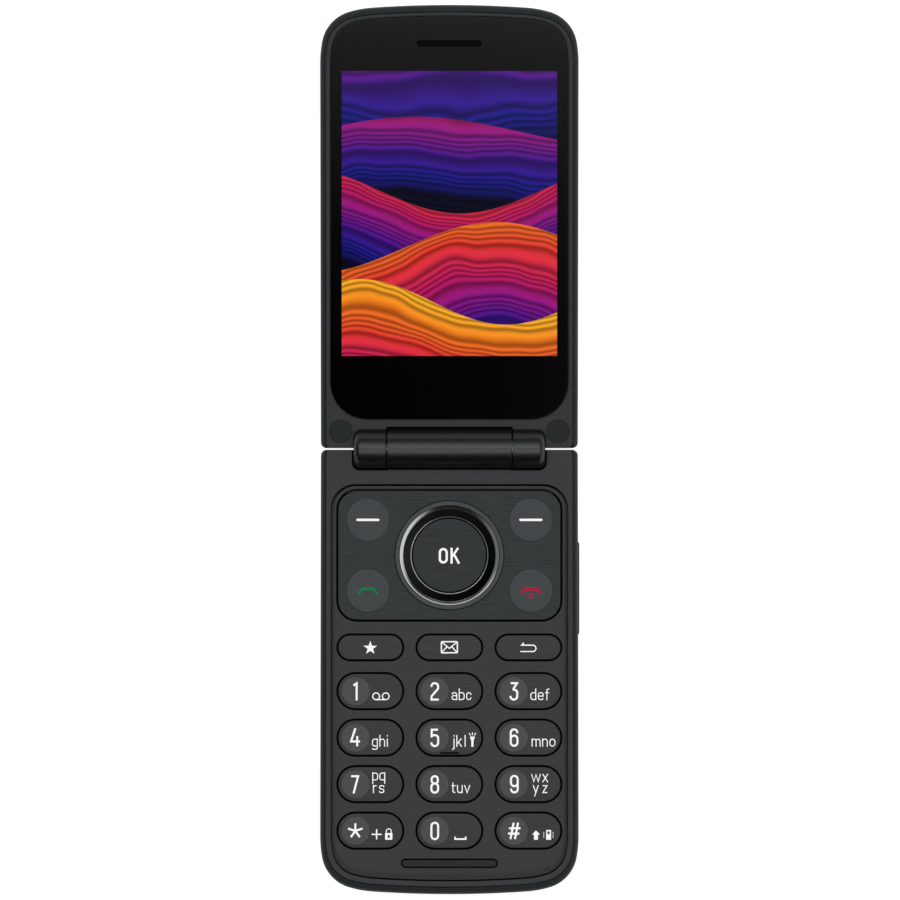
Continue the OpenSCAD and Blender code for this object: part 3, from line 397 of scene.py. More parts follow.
hinge = {"radius": 4.3, "seam": 14.15, "seamGap": 0.25, "half": 21.6, "knuckleRound": 1.5, "edge": 0.12,
         "lidTrough": 5.05, "fit": 0.05, "clear": 0.42, "baseTrough": 4.85, "troughStart": 0.4,
         "troughEnd": (22.0, 1.7), "frameGap": 0.12, "frameStart": 0.1, "frameRound": 1.75}
seamEnd = hinge["seam"] + hinge["seamGap"] / 2
barrelEnd = hinge["seam"] - hinge["seamGap"] / 2


# a profile of (radius, x) turned about the hinge line
def hingeTurned(profile, count=96):
    return alongX(turned(profile, count=count), z=level["axis"])


# a round bar along the hinge line, as far to the left as to the right
def hingeBar(radius, reach):
    return hingeTurned([(radius, -reach), (radius, reach)])


# two bars along the hinge line, right and left, with their outer ends rounded
def roundedBars(radius, first, last, end):
    bar = hingeTurned([(radius, first)] + [(radius - i, last + z) for i, z in quarterRound(end, count=7)])
    return [bar, mirrored(bar)]


# what the hinge clears: the lid's trough round the barrel, and the base's round barrel and knuckles
lidTrough = hingeBar(hinge["lidTrough"], seamEnd)
baseTroughs = [hingeBar(hinge["radius"] + hinge["clear"], seamEnd)]
baseTroughs += roundedBars(hinge["baseTrough"], seamEnd - hinge["troughStart"], *hinge["troughEnd"])

# pocket is where a front frame sits and inside is the room for the works, each as (inset, start, corner)
hollow = {"pocket": (1.15, -6.0, 0.5), "pocketTop": 14.0, "inside": (2.4, 7.2, 1.0), "lid": (4.7, 9.0),
          "base": (2.0, 10.0)}
lidBack = {"lens": (32.0, 38.0, 2.9), "lensAt": (0.0, 46.0), "lensSeat": (2.0, 3.95), "lensEdge": 0.12,
           "lensThick": 0.7, "lensBorder": 2.4, "cameraAt": (0.0, 80.0), "cameraRadius": 4.0,
           "cameraSeat": (2.0, 3.75), "torchAt": (9.0, 80.0), "torchRadius": 1.8, "torchSeat": (2.0, 4.35),
           "gap": 0.1}
piece("lid_cover", [loft(backRows(lidOuter, level["lidBack"]) + frontRows(lidOuter, level["shell"]))],
      [shellPlastic], "lid", ["lid_outer_cover"], [
    prism(lidOuter(*hollow["pocket"]), (level["framePocket"], hollow["pocketTop"])),
    prism(halfPlan(*hollow["inside"]), hollow["lid"]),
    lidTrough,
    hingeBar(hinge["radius"] + hinge["fit"], hinge["half"] + hinge["seamGap"]),
    prism(roundRect(*lidBack["lens"], -lidBack["gap"], lidBack["lensAt"]), lidBack["lensSeat"]),
    drum(lidBack["cameraRadius"] + lidBack["gap"], lidBack["cameraSeat"], lidBack["cameraAt"]),
    drum(lidBack["torchRadius"] + lidBack["gap"], lidBack["torchSeat"], lidBack["torchAt"]),
])

# the base's shell and its door meet in a seam of two small chamfers
rear = {"chamfer": 0.18, "seamGap": 0.02, "socket": (9.24, 3.56), "socketAt": (0.0, -90.5, 4.92),
        "socketDepth": 12.0, "micRadius": 0.5, "micAt": (14.0, -96.0, 6.0), "micDepth": 6.0,
        "slot": (9.0, 1.0), "slotsAt": (14.0, -21.0), "slotPitch": 2.4, "slotCut": (-1.0, 1.4),
        "scoopRadius": 1.2, "scoopHalf": 3.6, "scoopAt": (0.0, -101.3, 2.0)}
volume = {"size": (21.0, 2.6), "at": (-31.6, 4.95), "proud": 0.44, "gap": 0.2, "cut": (26.0, 31.0),
          "root": 26.3, "edge": (0.35, 0.3)}
seamZ = level["coverTop"] + rear["seamGap"]
seamRows = [(baseOuter(rear["chamfer"]), seamZ), (baseOuter(0.0), seamZ + rear["chamfer"])]
piece("rear_shell", [loft(seamRows + frontRows(baseOuter, level["shell"]))],
      [shellPlastic], "base", ["rear_housing"], [
    prism(baseOuter(*hollow["pocket"]), (level["deckFoot"], hollow["pocketTop"])),
    prism(basePlan(*hollow["inside"]), hollow["base"]),
    *baseTroughs,
    alongY(prism(stadium(*rear["socket"]), (0.0, rear["socketDepth"])), *rear["socketAt"]),
    alongX(prism(stadium(*volume["size"], -volume["gap"], volume["at"]), volume["cut"])),
    alongY(drum(rear["micRadius"], (0.0, rear["micDepth"]), count=32), *rear["micAt"]),
])
soundSlot = stadium(*rear["slot"])[:, ::-1] * np.array([-1.0, 1.0]) + np.array(rear["slotsAt"])
doorCuts = [prism(soundSlot + np.array([k * rear["slotPitch"], 0.0]), rear["slotCut"]) for k in range(-2, 3)]
scoop = drum(rear["scoopRadius"], (-rear["scoopHalf"], rear["scoopHalf"]), count=48)
doorRows = backRows(baseOuter, 0.0)[:-1]
doorRows += [(baseOuter(0.0), level["coverTop"] - rear["chamfer"]),
             (baseOuter(rear["chamfer"]), level["coverTop"])]
piece("battery_door", [loft(doorRows)], [shellPlastic], "base", ["battery_cover"],
      doorCuts + [alongX(scoop, *rear["scoopAt"])])
print("shells done")

pads = {"panel": (50.2, 29.1, 4.3), "panelAt": (0.0, -24.0), "panelEdge": 0.14, "gap": 0.46,
        "digit": (14.46, 7.74), "function": (14.46, 5.42), "columnPitch": 17.85, "rowPitch": 10.5,
        "functionY": -44.8, "digitY": -54.67, "roundRadius": 4.88, "roundX": 18.4, "roundY": 8.0,
        "roundGap": 0.03, "ringRadius": 12.25, "ringGap": 0.15, "okRadius": 8.3}
bumper = {"size": (21.3, 1.52), "at": (0.0, -93.53), "gap": 0.32, "groove": (9.2, 12.0), "foot": (9.22, 9.3),
          "footSpread": 0.29, "top": 10.75, "edge": 0.25}
digitNames = [["key_1", "key_2", "key_3"], ["key_4", "key_5", "key_6"], ["key_7", "key_8", "key_9"],
              ["key_star", "key_0", "key_hash"]]
functionNames = ["favourites_key", "message_key", "back_key"]
roundSides = {"soft_key_left": (-1, 1), "soft_key_right": (1, 1), "call_key": (-1, -1), "end_key": (1, -1)}
digitAt = {name: ((column - 1) * pads["columnPitch"], pads["digitY"] - row * pads["rowPitch"])
           for row, names in enumerate(digitNames) for column, name in enumerate(names)}
functionAt = {name: ((column - 1) * pads["columnPitch"], pads["functionY"])
              for column, name in enumerate(functionNames)}
roundAt = {name: (x * pads["roundX"], pads["panelAt"][1] + y * pads["roundY"])
           for name, (x, y) in roundSides.items()}

# deck and lens are the (inset, start, corner, extra) of the step inside each rim; a band of the hollow is its
# (inset, share of the depth, share of the groove at the hinge side)
rim = {"outer": 1.25, "start": 0.19, "lean": 0.1, "edge": 0.2, "deck": (2.25, 7.97, 5.6, 0.17),
       "lens": (2.12, 6.62, 8.3, 0.155), "groove": 0.42, "depth": 0.35, "spread": 2.3,
       "bands": ((0.12, 1.0, 0.9), (0.22, 0.9, 0.94), (0.36, 0.65, 0.97), (0.52, 0.34, 0.98),
                 (0.7, 0.1, 0.99), (0.9, 0.0, 1.0))}


# rows over the rim: up the wall, round its edge, across the flat, round the inner edge and down the step
def rimRows(plan, foot, step, floorZ):
    inset, start, corner, extra = step
    outer, edge = flared(plan), quarterRound(rim["edge"])
    rows = [(outer(rim["outer"], rim["start"]), foot)]
    rows += [(outer(rim["outer"] + i, rim["start"] + i * rim["lean"]), level["rim"] + z) for i, z in edge]
    rows += [(plan(inset - i, start - i, corner + i, extra), level["rim"] + z) for i, z in edge[::-1]]
    return rows + [(plan(*step), floorZ)]


# the deck meets its rim in a hollow: a narrow floor, then a slope that eases up to the deck; towards the far
# end the slope is drawn out by the spread
def hollowRows():
    inset, start, corner, extra = rim["deck"]
    rows = []
    for i, down, share in rim["bands"]:
        more = (inset * (1 + extra) + rim["spread"] * i) / (inset + i) - 1
        plan = basePlan(inset + i, start + rim["groove"] * share, corner - i, more)
        rows.append((plan, level["deck"] - down * rim["depth"]))
    return rows


deckRows = rimRows(basePlan, level["deckFoot"], rim["deck"], level["deck"] - rim["depth"])
# the hollow's narrow floor takes the near-black second finish: painted shade at the foot of the rim
deckZones = [0] * (len(deckRows) - 1) + [1] + [0] * (len(rim["bands"]) - 1)
keyCuts = [prism(stadium(*pads[kind], -pads["gap"], at), through)
           for kind, places in (("digit", digitAt), ("function", functionAt)) for at in places.values()]
# the steep walls of its key holes, panel opening and bumper groove are painted near black as shade
piece("keypad_frame", [loft(deckRows + hollowRows(), deckZones)], [framePlastic], "base",
      ["keypad_housing"], shadeWalls=blackSiliconeAndPaintedShade, cutters=[
    *keyCuts,
    prism(roundRect(*pads["panel"], -pads["gap"], pads["panelAt"]), through),
    prism(stadium(*bumper["size"], -bumper["gap"], bumper["at"]), bumper["groove"]),
    *baseTroughs,
])

lensRoom = {"plan": (4.0, 9.0, 6.0), "cut": (7.5, 10.0)}
caps = {"at": ((-24.5, 4.0), (24.5, 4.0)), "radius": 2.6, "gap": 0.05, "seat": (9.95, 12.0),
        "profile": [(2.6, 9.95), (2.6, 10.36), (2.5, 10.44), (2.2, 10.42), (0.4, 10.38)]}
# the steep walls of its openings are painted near black as shade
piece("lid_frame", [loft(rimRows(halfPlan, level["framePocket"], rim["lens"], level["lensFoot"]))],
      [lidPlastic], "lid", ["lid_inner_frame"], shadeWalls=blackSiliconeAndPaintedShade, cutters=[
    prism(halfPlan(*lensRoom["plan"]), lensRoom["cut"]),
    lidTrough,
    *roundedBars(hinge["radius"] + hinge["frameGap"], seamEnd - hinge["frameStart"],
                 hinge["half"] + hinge["frameGap"], hinge["frameRound"]),
    *[drum(caps["radius"] + caps["gap"], caps["seat"], at) for at in caps["at"]],
])

slim = hinge["radius"] - hinge["edge"]
barrelProfile = [(slim, -barrelEnd), (hinge["radius"], -barrelEnd + hinge["edge"]),
                 (hinge["radius"], barrelEnd - hinge["edge"]), (slim, barrelEnd)]
piece("hinge_barrel", [hingeTurned(barrelProfile, 128)], [barrelPlastic], "base")
knuckleProfile = [(slim, seamEnd), (hinge["radius"], seamEnd + hinge["edge"])]
knuckleProfile += [(hinge["radius"] - i, hinge["half"] + z)
                   for i, z in quarterRound(hinge["knuckleRound"], count=8)]
knuckle = hingeTurned(knuckleProfile, 128)
piece("hinge_knuckles", [knuckle, mirrored(knuckle)], [barrelPlastic], "lid")
piece("screw_covers", [turned(caps["profile"], at) for at in caps["at"]], [capRubber], "lid",
      ["lid_screw_caps"])
print("frames and hinge done")

panelRows = [(roundRect(*pads["panel"], centre=pads["panelAt"]), level["flangeTop"])]
panelRows += [(roundRect(*pads["panel"], i, pads["panelAt"]), level["panel"] + z)
              for i, z in quarterRound(pads["panelEdge"])]
panelCuts = [drum(pads["ringRadius"] + pads["ringGap"], through, pads["panelAt"], 128)]
panelCuts += [drum(pads["roundRadius"] + pads["roundGap"], through, at) for at in roundAt.values()]
# the steep walls of the ring's and the round keys' holes are painted near black as shade
piece("nav_plate", [loft(panelRows)], [panelPlastic], "base", ["nav_panel"], panelCuts,
      shadeWalls=blackSiliconeAndPaintedShade)

# a key's top rises by crown, in rows of (inset, share of the crown still to rise)
keyForm = {"lip": 0.5, "edge": 0.13, "crown": 0.03, "crownRows": ((0.9, 0.3), (1.8, 0.0))}


# a key's cap: its flange, the wall up through the deck, the rounded edge and a top that rises a little;
# flange, wall and the edge's steep part are painted near black as shade, so that the gap round it reads dark
def keyCap(name, node, plan, top, finish, black=blackSiliconeAndPaintedShade):
    lip, crown = keyForm["lip"], keyForm["crown"]
    rows = [(plan(-lip), level["flange"]), (plan(-lip), level["flangeTop"]), (plan(0.0), level["flangeTop"])]
    shadeWalls = len(rows) if black else 0
    rows += [(plan(i), top - crown + z) for i, z in quarterRound(keyForm["edge"])]
    rows += [(plan(i), top - share * crown) for i, share in keyForm["crownRows"]]
    zones = [int(k < shadeWalls) for k in range(len(rows) - 1)]
    piece(name, [loft(rows, zones)], [finish], node + "_body", [node], shadeWalls=black)


for kind, places in (("digit", digitAt), ("function", functionAt)):
    for name, at in places.items():
        keyCap(name + "_cap", name, lambda i: stadium(*pads[kind], i, at), level["key"], keyPlastic)
for name, at in roundAt.items():
    keyCap(name + "_cap", name, lambda i: circle(pads["roundRadius"] - i, at), level["roundKey"],
           roundPlastic, None)
keyCap("ok_cap", "ok_key", lambda i: circle(pads["okRadius"] - i, pads["panelAt"], 128), level["key"],
       okPlastic)

# the ring's section from its foot: outer wall, flat band, fine groove, polished bevel that bends as it falls,
# dish, painted lip and bore; edge, groove, lipEdge and lipSlope are steps across and down
ringForm = {"foot": 8.95, "bore": 8.5, "edge": (0.04, 0.14), "band": 11.2, "groove": (0.12, 0.14, 0.16),
            "sunk": 0.02, "dish": 10.45, "dishZ": 9.76, "bend": 0.28, "lip": 8.79, "lipZ": 9.71,
            "lipTop": 10.2, "lipEdge": (0.03, 0.05), "lipSlope": (0.16, 0.12)}
ringTop, ringOuter = level["ring"], pads["ringRadius"]
band, dish, lip, dishZ = (ringForm[key] for key in ("band", "dish", "lip", "dishZ"))
edgeSmall, edgeLarge = ringForm["edge"]
grooveFoot, grooveTop, grooveDeep = ringForm["groove"]
bevelTop, lipCrest = ringTop - ringForm["sunk"], lip - ringForm["lipEdge"][0]
steps = np.linspace(0, 1, 9)[1:]
bevel = (1 + ringForm["bend"]) * steps - ringForm["bend"] * steps ** 2
ringSection = [
    (ringForm["bore"], ringForm["foot"]), (ringOuter, ringForm["foot"]), (ringOuter, ringTop - edgeLarge),
    (ringOuter - edgeSmall, ringTop - edgeSmall), (ringOuter - edgeLarge, ringTop),
    (band + grooveTop, ringTop), (band + grooveFoot, ringTop - grooveDeep), (band, ringTop - grooveDeep),
    (band, bevelTop),
    *zip(band + (dish - band) * steps, bevelTop + (dishZ - bevelTop) * bevel),
    *zip(dish + (lip - dish) * steps, dishZ + (ringForm["lipZ"] - dishZ) * steps),
    (lip, ringForm["lipTop"] - ringForm["lipEdge"][1]), (lipCrest, ringForm["lipTop"]),
    (lipCrest - ringForm["lipSlope"][0], ringForm["lipTop"] - ringForm["lipSlope"][1])]
ringZones = [0] * 5 + [2] * 3 + [1] * 8 + [2] * 10 + [3, 0]
piece("ring_cap", [turned(ringSection, pads["panelAt"], 192, ringZones, True)],
      [bandPlastic, chrome, glossPlastic, lipPaint], "nav_ring_body", ["nav_ring"], sharp=20.0)

# the bumper stands in its groove on a foot that fills the groove's floor; foot and the wall below the deck
# are painted near black as shade
bumperRows = [(-bumper["footSpread"], z) for z in bumper["foot"]]
bumperRows += [(0.0, bumper["foot"][1]), (0.0, level["deck"])]
bumperRows += [(i, bumper["top"] + z) for i, z in quarterRound(bumper["edge"])]
bumperBar = loft([(stadium(*bumper["size"], i, bumper["at"]), z) for i, z in bumperRows], [1] * 3 + [0] * 5)
piece("bumper_bar", [bumperBar], [bumperRubber, blackSiliconeAndPaintedShade], "base", ["bumper_strip"])
volumeRows = [(stadium(*volume["size"], centre=volume["at"]), volume["root"])]
volumeRows += [(stadium(*volume["size"], i, volume["at"]), body["halfWidth"] + volume["proud"] + z)
               for i, z in quarterRound(*volume["edge"])]
piece("volume_rocker", [alongX(loft(volumeRows))], [shellPlastic], "volume_key_body",
      ["volume_key"])
print("keys done")


# printed legends are strokes of a plain condensed letter, laid as thin ribbons of ink; a stroke's path goes
# through corners (x, y, radius): straight runs, and an arc of that radius at each corner that has one
def cornerPath(corners, closed, steps=7):
    at = np.array([corner[:2] for corner in corners], float)
    runs = []
    for k, corner in enumerate(corners):
        if len(corner) < 3:
            runs.append(at[k:k + 1])
            continue
        back, ahead = at[k - 1] - at[k], at[(k + 1) % len(at)] - at[k]
        back, ahead = back / np.linalg.norm(back), ahead / np.linalg.norm(ahead)
        half = np.arccos(np.clip(back @ ahead, -1, 1)) / 2
        middle = at[k] + (back + ahead) / np.linalg.norm(back + ahead) * corner[2] / np.sin(half)
        reach = corner[2] / np.tan(half)
        first, last = at[k] + back * reach - middle, at[k] + ahead * reach - middle
        sweep, share = np.pi - 2 * half, np.linspace(0, 1, steps)[:, None]
        bow = np.sin((1 - share) * sweep) * first + np.sin(share * sweep) * last
        runs.append(middle + bow / np.sin(sweep))
    path = np.concatenate(runs)
    keep = np.linalg.norm(path - np.roll(path, 1, 0), axis=1) > 1e-4
    keep[0] = keep[0] or not closed
    return path[keep]


# a flat bar of the given width along a path: each point is set off both ways along its mitre
def ribbon(path, width, z, thick, closed):
    run = np.roll(path, -1, 0) - path
    if not closed:
        run[-1] = run[-2]
    run = run / np.linalg.norm(run, axis=1)[:, None]
    before = np.roll(run, 1, 0)
    if not closed:
        before[0] = run[0]
    side = np.stack([-run[:, 1], run[:, 0]], 1)
    mitre = side + np.stack([-before[:, 1], before[:, 0]], 1)
    mitre = mitre / np.linalg.norm(mitre, axis=1)[:, None]
    mitre = mitre / np.maximum(0.45, (mitre * side).sum(1))[:, None] * width / 2  # sharp mitres are cut short
    count = len(path)
    high, low = np.full((count, 1), z + thick), np.full((count, 1), z)
    grid = np.stack([np.hstack([path + mitre, high]), np.hstack([path - mitre, high]),
                     np.hstack([path - mitre, low]), np.hstack([path + mitre, low])], 1)
    faces = gridQuads(count, 4, closed)
    if not closed:
        faces += [[3, 2, 1, 0], [4 * count - 4, 4 * count - 3, 4 * count - 2, 4 * count - 1]]
    return grid.reshape(-1, 3), faces, [0] * len(faces)


# the corners of a closed stroke round a rectangle, all of one radius
def loop(x0, y0, x1, y1, radius):
    return [(x0, y0, radius), (x1, y0, radius), (x1, y1, radius), (x0, y1, radius)]


half, tall = 0.76, 1.85  # a digit's half width and half height at the middle of its strokes
bend = half - 0.01
hook = [(half - 0.03, 1.0), (half - 0.03, tall, half - 0.04), (-half, tall, half - 0.04), (-half, -0.8)]
bowl = [(half, -tall, bend), (-half, -tall, bend), (-half, -1.0)]
# each digit: its open strokes, then its closed ones, in millimetres about its middle
digits = {
    "0": ([], [loop(-half, -tall, half, tall, bend)]),
    "1": ([[(-0.5, 1.32), (0.22, tall - 0.05), (0.22, -tall - 0.2)]], []),
    "2": ([[(-half, 1.0), (-half, tall, bend), (half, tall, bend), (half, 0.62, 0.5),
            (-half + 0.03, -1.1, 0.5), (-half + 0.03, -tall), (half + 0.15, -tall)]], []),
    "3": ([[(-half + 0.05, tall), (half - 0.05, tall), (-0.18, 0.42)],
           [(-0.25, 0.38), (half, 0.38, half - 0.05), *bowl]], []),
    "4": ([[(0.05, tall + 0.2), (-0.95, -0.95), (1.08, -0.95)], [(0.45, 0.25), (0.45, -tall - 0.2)]], []),
    "5": ([[(half - 0.05, tall), (-half + 0.08, tall), (-half + 0.04, 0.1)],
           [(-half + 0.04, 0.12), (-half + 0.04, 0.6, 0.35), (half, 0.6, half - 0.1), *bowl]], []),
    "6": ([hook], [loop(-half, -tall, half, 0.45, bend)]),
    "7": ([[(-half - 0.18, tall), (half - 0.1, tall), (-0.38, -tall - 0.2)]], []),
    "8": ([], [loop(-half + 0.06, 0.2, half - 0.06, tall, 0.68), loop(-half, -tall, half, 0.2, bend)]),
    "9": ([[(-x, -y, *radius) for x, y, *radius in hook]], [loop(-half, -0.45, half, tall, bend)]),
    "*": ([[(-0.08, 0), (1.72 * np.sin(a) - 0.08, 1.72 * np.cos(a))]
           for a in np.radians(range(0, 360, 72))], []),
    "#": ([[(-0.05, 1.85), (-0.75, -1.85)], [(0.95, 1.85), (0.25, -1.85)], [(-1.05, 0.6), (1.5, 0.6)],
           [(-1.3, -0.6), (1.25, -0.6)]], []),
}
stem, shortStem, crossbar = [(0.15, 2.65), (0.15, 0)], [(0.15, 1.85), (0.15, 0)], [(0, 1.7), (0.9, 1.7)]
arch = [(0.15, 1.1), (0.15, 1.7, 0.5), (1.2, 1.7, 0.5), (1.2, 0)]
leftBowl = [(0.15, 0.15, 0.5), (1.25, 0.15, 0.1), (1.25, 1.7, 0.1), (0.15, 1.7, 0.5)]
rightBowl = [(0.15, 0.15, 0.1), (1.25, 0.15, 0.5), (1.25, 1.7, 0.5), (0.15, 1.7, 0.1)]
# each small letter: its width, its open strokes and its closed ones, from the left end of its line
letters = {
    "a": (1.35, [[(0.2, 1.3), (0.2, 1.7, 0.36), (1.2, 1.7, 0.45), (1.2, 0)]],
          [[(0.15, 0.15, 0.4), (1.2, 0.15, 0.3), (1.2, 1.02, 0.1), (0.15, 1.02, 0.4)]]),
    "b": (1.4, [stem], [rightBowl]),
    "c": (1.25, [[(1.1, 1.2), (1.1, 1.7, 0.45), (0.15, 1.7, 0.45), (0.15, 0.15, 0.45), (1.1, 0.15, 0.45),
                  (1.1, 0.65)]], []),
    "d": (1.4, [[(1.25, 2.65), (1.25, 0)]], [leftBowl]),
    "e": (1.4, [[(0.15, 0.92), (1.25, 0.92), (1.25, 1.7, 0.5), (0.15, 1.7, 0.5), (0.15, 0.15, 0.5),
                 (1.2, 0.15, 0.28), (1.2, 0.48)]], []),
    "f": (0.95, [[(0.95, 2.5), (0.4, 2.5, 0.35), (0.4, 0)], crossbar], []),
    "g": (1.4, [[(1.25, 1.85), (1.25, -0.6, 0.45), (0.2, -0.6, 0.24), (0.2, -0.32)]], [leftBowl]),
    "h": (1.35, [stem, arch], []),
    "i": (0.4, [[(0.2, 1.85), (0.2, 0)], [(0.2, 2.3), (0.2, 2.62)]], []),
    "j": (0.65, [[(0.45, 1.85), (0.45, -0.6, 0.35), (0, -0.6)], [(0.45, 2.3), (0.45, 2.62)]], []),
    "k": (1.3, [stem, [(1.2, 1.85), (0.2, 0.7)], [(0.5, 1.05), (1.25, 0)]], []),
    "l": (0.4, [[(0.2, 2.65), (0.2, 0)]], []),
    "m": (2.1, [shortStem, [(0.15, 1.1), (0.15, 1.7, 0.44), (1.05, 1.7, 0.44), (1.05, 0)],
                [(1.05, 1.1), (1.05, 1.7, 0.44), (1.95, 1.7, 0.44), (1.95, 0)]], []),
    "n": (1.35, [shortStem, arch], []),
    "o": (1.45, [], [loop(0.15, 0.15, 1.3, 1.7, 0.56)]),
    "p": (1.4, [[(0.15, 1.85), (0.15, -0.75)]], [rightBowl]),
    "q": (1.4, [[(1.25, 1.85), (1.25, -0.75)]], [leftBowl]),
    "r": (0.95, [shortStem, [(0.15, 1.0), (0.15, 1.7, 0.5), (0.9, 1.7)]], []),
    "s": (1.25, [[(1.1, 1.36), (1.1, 1.7, 0.28), (0.15, 1.7, 0.35), (0.15, 0.93, 0.35), (1.1, 0.93, 0.35),
                  (1.1, 0.15, 0.35), (0.15, 0.15, 0.28), (0.15, 0.48)]], []),
    "t": (0.95, [[(0.35, 2.4), (0.35, 0.15, 0.4), (0.9, 0.15)], crossbar], []),
    "u": (1.35, [[(0.15, 1.85), (0.15, 0.15, 0.5), (1.2, 0.15, 0.5), (1.2, 1.0)],
                 [(1.2, 1.85), (1.2, 0)]], []),
    "v": (1.4, [[(0.1, 1.85), (0.7, 0.1), (1.3, 1.85)]], []),
    "w": (2.2, [[(0.1, 1.85), (0.6, 0.1), (1.1, 1.7), (1.6, 0.1), (2.1, 1.85)]], []),
    "x": (1.4, [[(0.12, 1.85), (1.28, 0)], [(1.28, 1.85), (0.12, 0)]], []),
    "y": (1.4, [[(0.1, 1.85), (0.72, 0.15)], [(1.3, 1.85), (0.4, -0.75)]], []),
    "z": (1.25, [[(0.1, 1.7), (1.08, 1.7), (0.15, 0.15), (1.15, 0.15)]], []),
}
# the ink's top rises a step from stroke to stroke, so that no two tops lie in one plane; nudge moves single
# digits in their discs
printing = {"digitStroke": 0.45, "letterStroke": 0.22, "letterGap": 0.28, "sunk": 0.01, "ink": 0.03,
            "step": 0.002, "digitY": -0.04, "rise": 0.07, "discX": -3.3, "discRadius": 3.14,
            "disc": (-0.04, 0.012),
            "nudge": {"4": (-0.11, 0.14), "6": (0.06, 0.06), "7": (-0.11, 0.0), "9": (0.11, 0.06)}}


# strokes of one width, as (corners, closed, width): open paths, then closed ones
def lines(width, *opened, shut=()):
    return [(path, False, width) for path in opened] + [(path, True, width) for path in shut]


# the same strokes with x and y added to every corner
def moved(strokes, x, y):
    return [([(cornerX + x, cornerY + y, *radius) for cornerX, cornerY, *radius in corners], closed, width)
            for corners, closed, width in strokes]


# strokes of words of small letters, each word with the place where its line starts
def words(*placed):
    strokes = []
    for word, x, y in placed:
        for letter in word:
            width, opened, shut = letters[letter]
            strokes += moved(lines(printing["letterStroke"], *opened, shut=shut), x, y)
            x += width + printing["letterGap"]
    return strokes


# the corners of a filled rectangle
def box(x0, y0, x1, y1):
    return np.array([(x0, y0), (x1, y0), (x1, y1), (x0, y1)])


# points on a circle: its middle plus radius times (sin t, cos t), t in degrees
def arcPoints(x, y, radius, t):
    return [(x + radius * np.sin(a), y + radius * np.cos(a)) for a in np.radians(t)]


lineY = -2.1  # the small letters' line, from the key's middle
reel = np.linspace(90, -270, 24, endpoint=False)
flecks = [[(x, y), (x + 0.12, y - 0.3)] for x in (3.4, 5.5) for y in (-0.35, -0.85, -1.35)]
# everything beside a digit, from the key's middle: strokes, then filled outlines
beside = {
    "key_1": (lines(0.24, shut=[arcPoints(x, -1.22, 0.76, reel) for x in (1.32, 3.48)])
              + lines(0.24, [(1.32, -1.98), (3.48, -1.98)]), []),
    "key_2": (words(("abc", 0.45, lineY)), []),
    "key_3": (words(("def", 0.39, lineY)), []),
    "key_4": (words(("ghi", 0.34, lineY)), []),
    "key_5": (words(("jk", 0.6, lineY), ("l", 3.35, lineY))
              + lines(0.22, [(5.2, 1.15), (5.2, 0.5)], [(4.45, 0.98), (4.75, 0.45)],
                      [(5.95, 0.98), (5.65, 0.45)]),
              [np.array([(4.7, 0.2), (4.7, -0.2), (4.95, -0.65), (4.95, lineY), (5.45, lineY), (5.45, -0.65),
                         (5.7, -0.2), (5.7, 0.2)])]),
    "key_6": (words(("mno", 0.67, lineY)), []),
    "key_7": (words(("p", 0.4, 0.75), ("q", 2.0, 0.75), ("r", 0.55, lineY), ("s", 1.95, lineY)), []),
    "key_8": (words(("tuv", 0.45, lineY)), []),
    "key_9": (words(("wx", 0.6, 0.4), ("y", 0.95, lineY), ("z", 3.1, lineY)), []),
    "key_star": (lines(0.3, [(0.28, -0.88), (2.56, -0.88)], [(1.42, 0.26), (1.42, -2.02)])
                 + lines(0.2, [(3.6, -0.7), (3.6, 0.35, 0.5), (4.72, 0.35, 0.5), (4.72, -0.7)]),
                 [box(3.34, lineY, 3.92, -0.6), box(4.4, lineY, 4.98, -0.6), box(3.92, -1.02, 4.4, -0.6),
                  box(3.92, lineY, 4.4, -1.72)]),
    "key_0": (lines(0.36, [(1.28, -1.42), (1.28, -1.95), (3.68, -1.95), (3.68, -1.42)]), []),
    "key_hash": (lines(0.13, *flecks),
                 [np.array([(1.7, 0.02), (0.8, -0.95), (1.26, -0.95), (1.26, lineY), (2.14, lineY),
                            (2.14, -0.95), (2.6, -0.95)]),
                  box(4.0, lineY, 5.1, -0.9), box(4.0, -0.9, 4.3, 0.1), box(4.8, -0.9, 5.1, 0.1),
                  box(4.3, -0.22, 4.8, 0.1)]),
}


# a legend of strokes and fills about a place, on a key whose top is at the given height
def legend(name, rides, at, strokes, fills, ink, top):
    low, high = top - printing["sunk"], top + printing["ink"]
    shapes = [ribbon(cornerPath(corners, closed), width, low, high - low + printing["step"] * k, closed)
              for k, (corners, closed, width) in enumerate(moved(strokes, *at))]
    shapes += [prism(fill + np.array(at), (low, high + printing["step"] * k)) for k, fill in enumerate(fills)]
    piece(name, shapes, [ink], rides)


for digit, (name, (x, y)) in zip("123456789*0#", digitAt.items()):
    disc = circle(printing["discRadius"], (x + printing["discX"], y), 48)
    piece(name + "_window", [prism(disc, [level["key"] + z for z in printing["disc"]])], [discPlastic],
          name + "_body")
    opened, shut = digits[digit]
    dx, dy = printing["nudge"].get(digit, (0.0, 0.0))
    strokes = moved(lines(printing["digitStroke"], *opened, shut=shut), printing["discX"] + dx,
                    printing["digitY"] + dy - printing["rise"])
    legend(name + "_legend", name + "_body", (x, y + printing["rise"]), strokes + beside[name][0],
           beside[name][1], whiteInk, level["key"])

# the raised pip below the 5
pip = {"size": (4.4, 0.5), "from5": (0.1, -3.4), "rows": ((0.0, -0.1), (0.0, 0.05), (0.1, 0.13))}
pipAt = np.array(digitAt["key_5"]) + np.array(pip["from5"])
piece("key_5_pip", [loft([(stadium(*pip["size"], i, pipAt), level["key"] + z) for i, z in pip["rows"]])],
      [glossPlastic], "key_5_body")

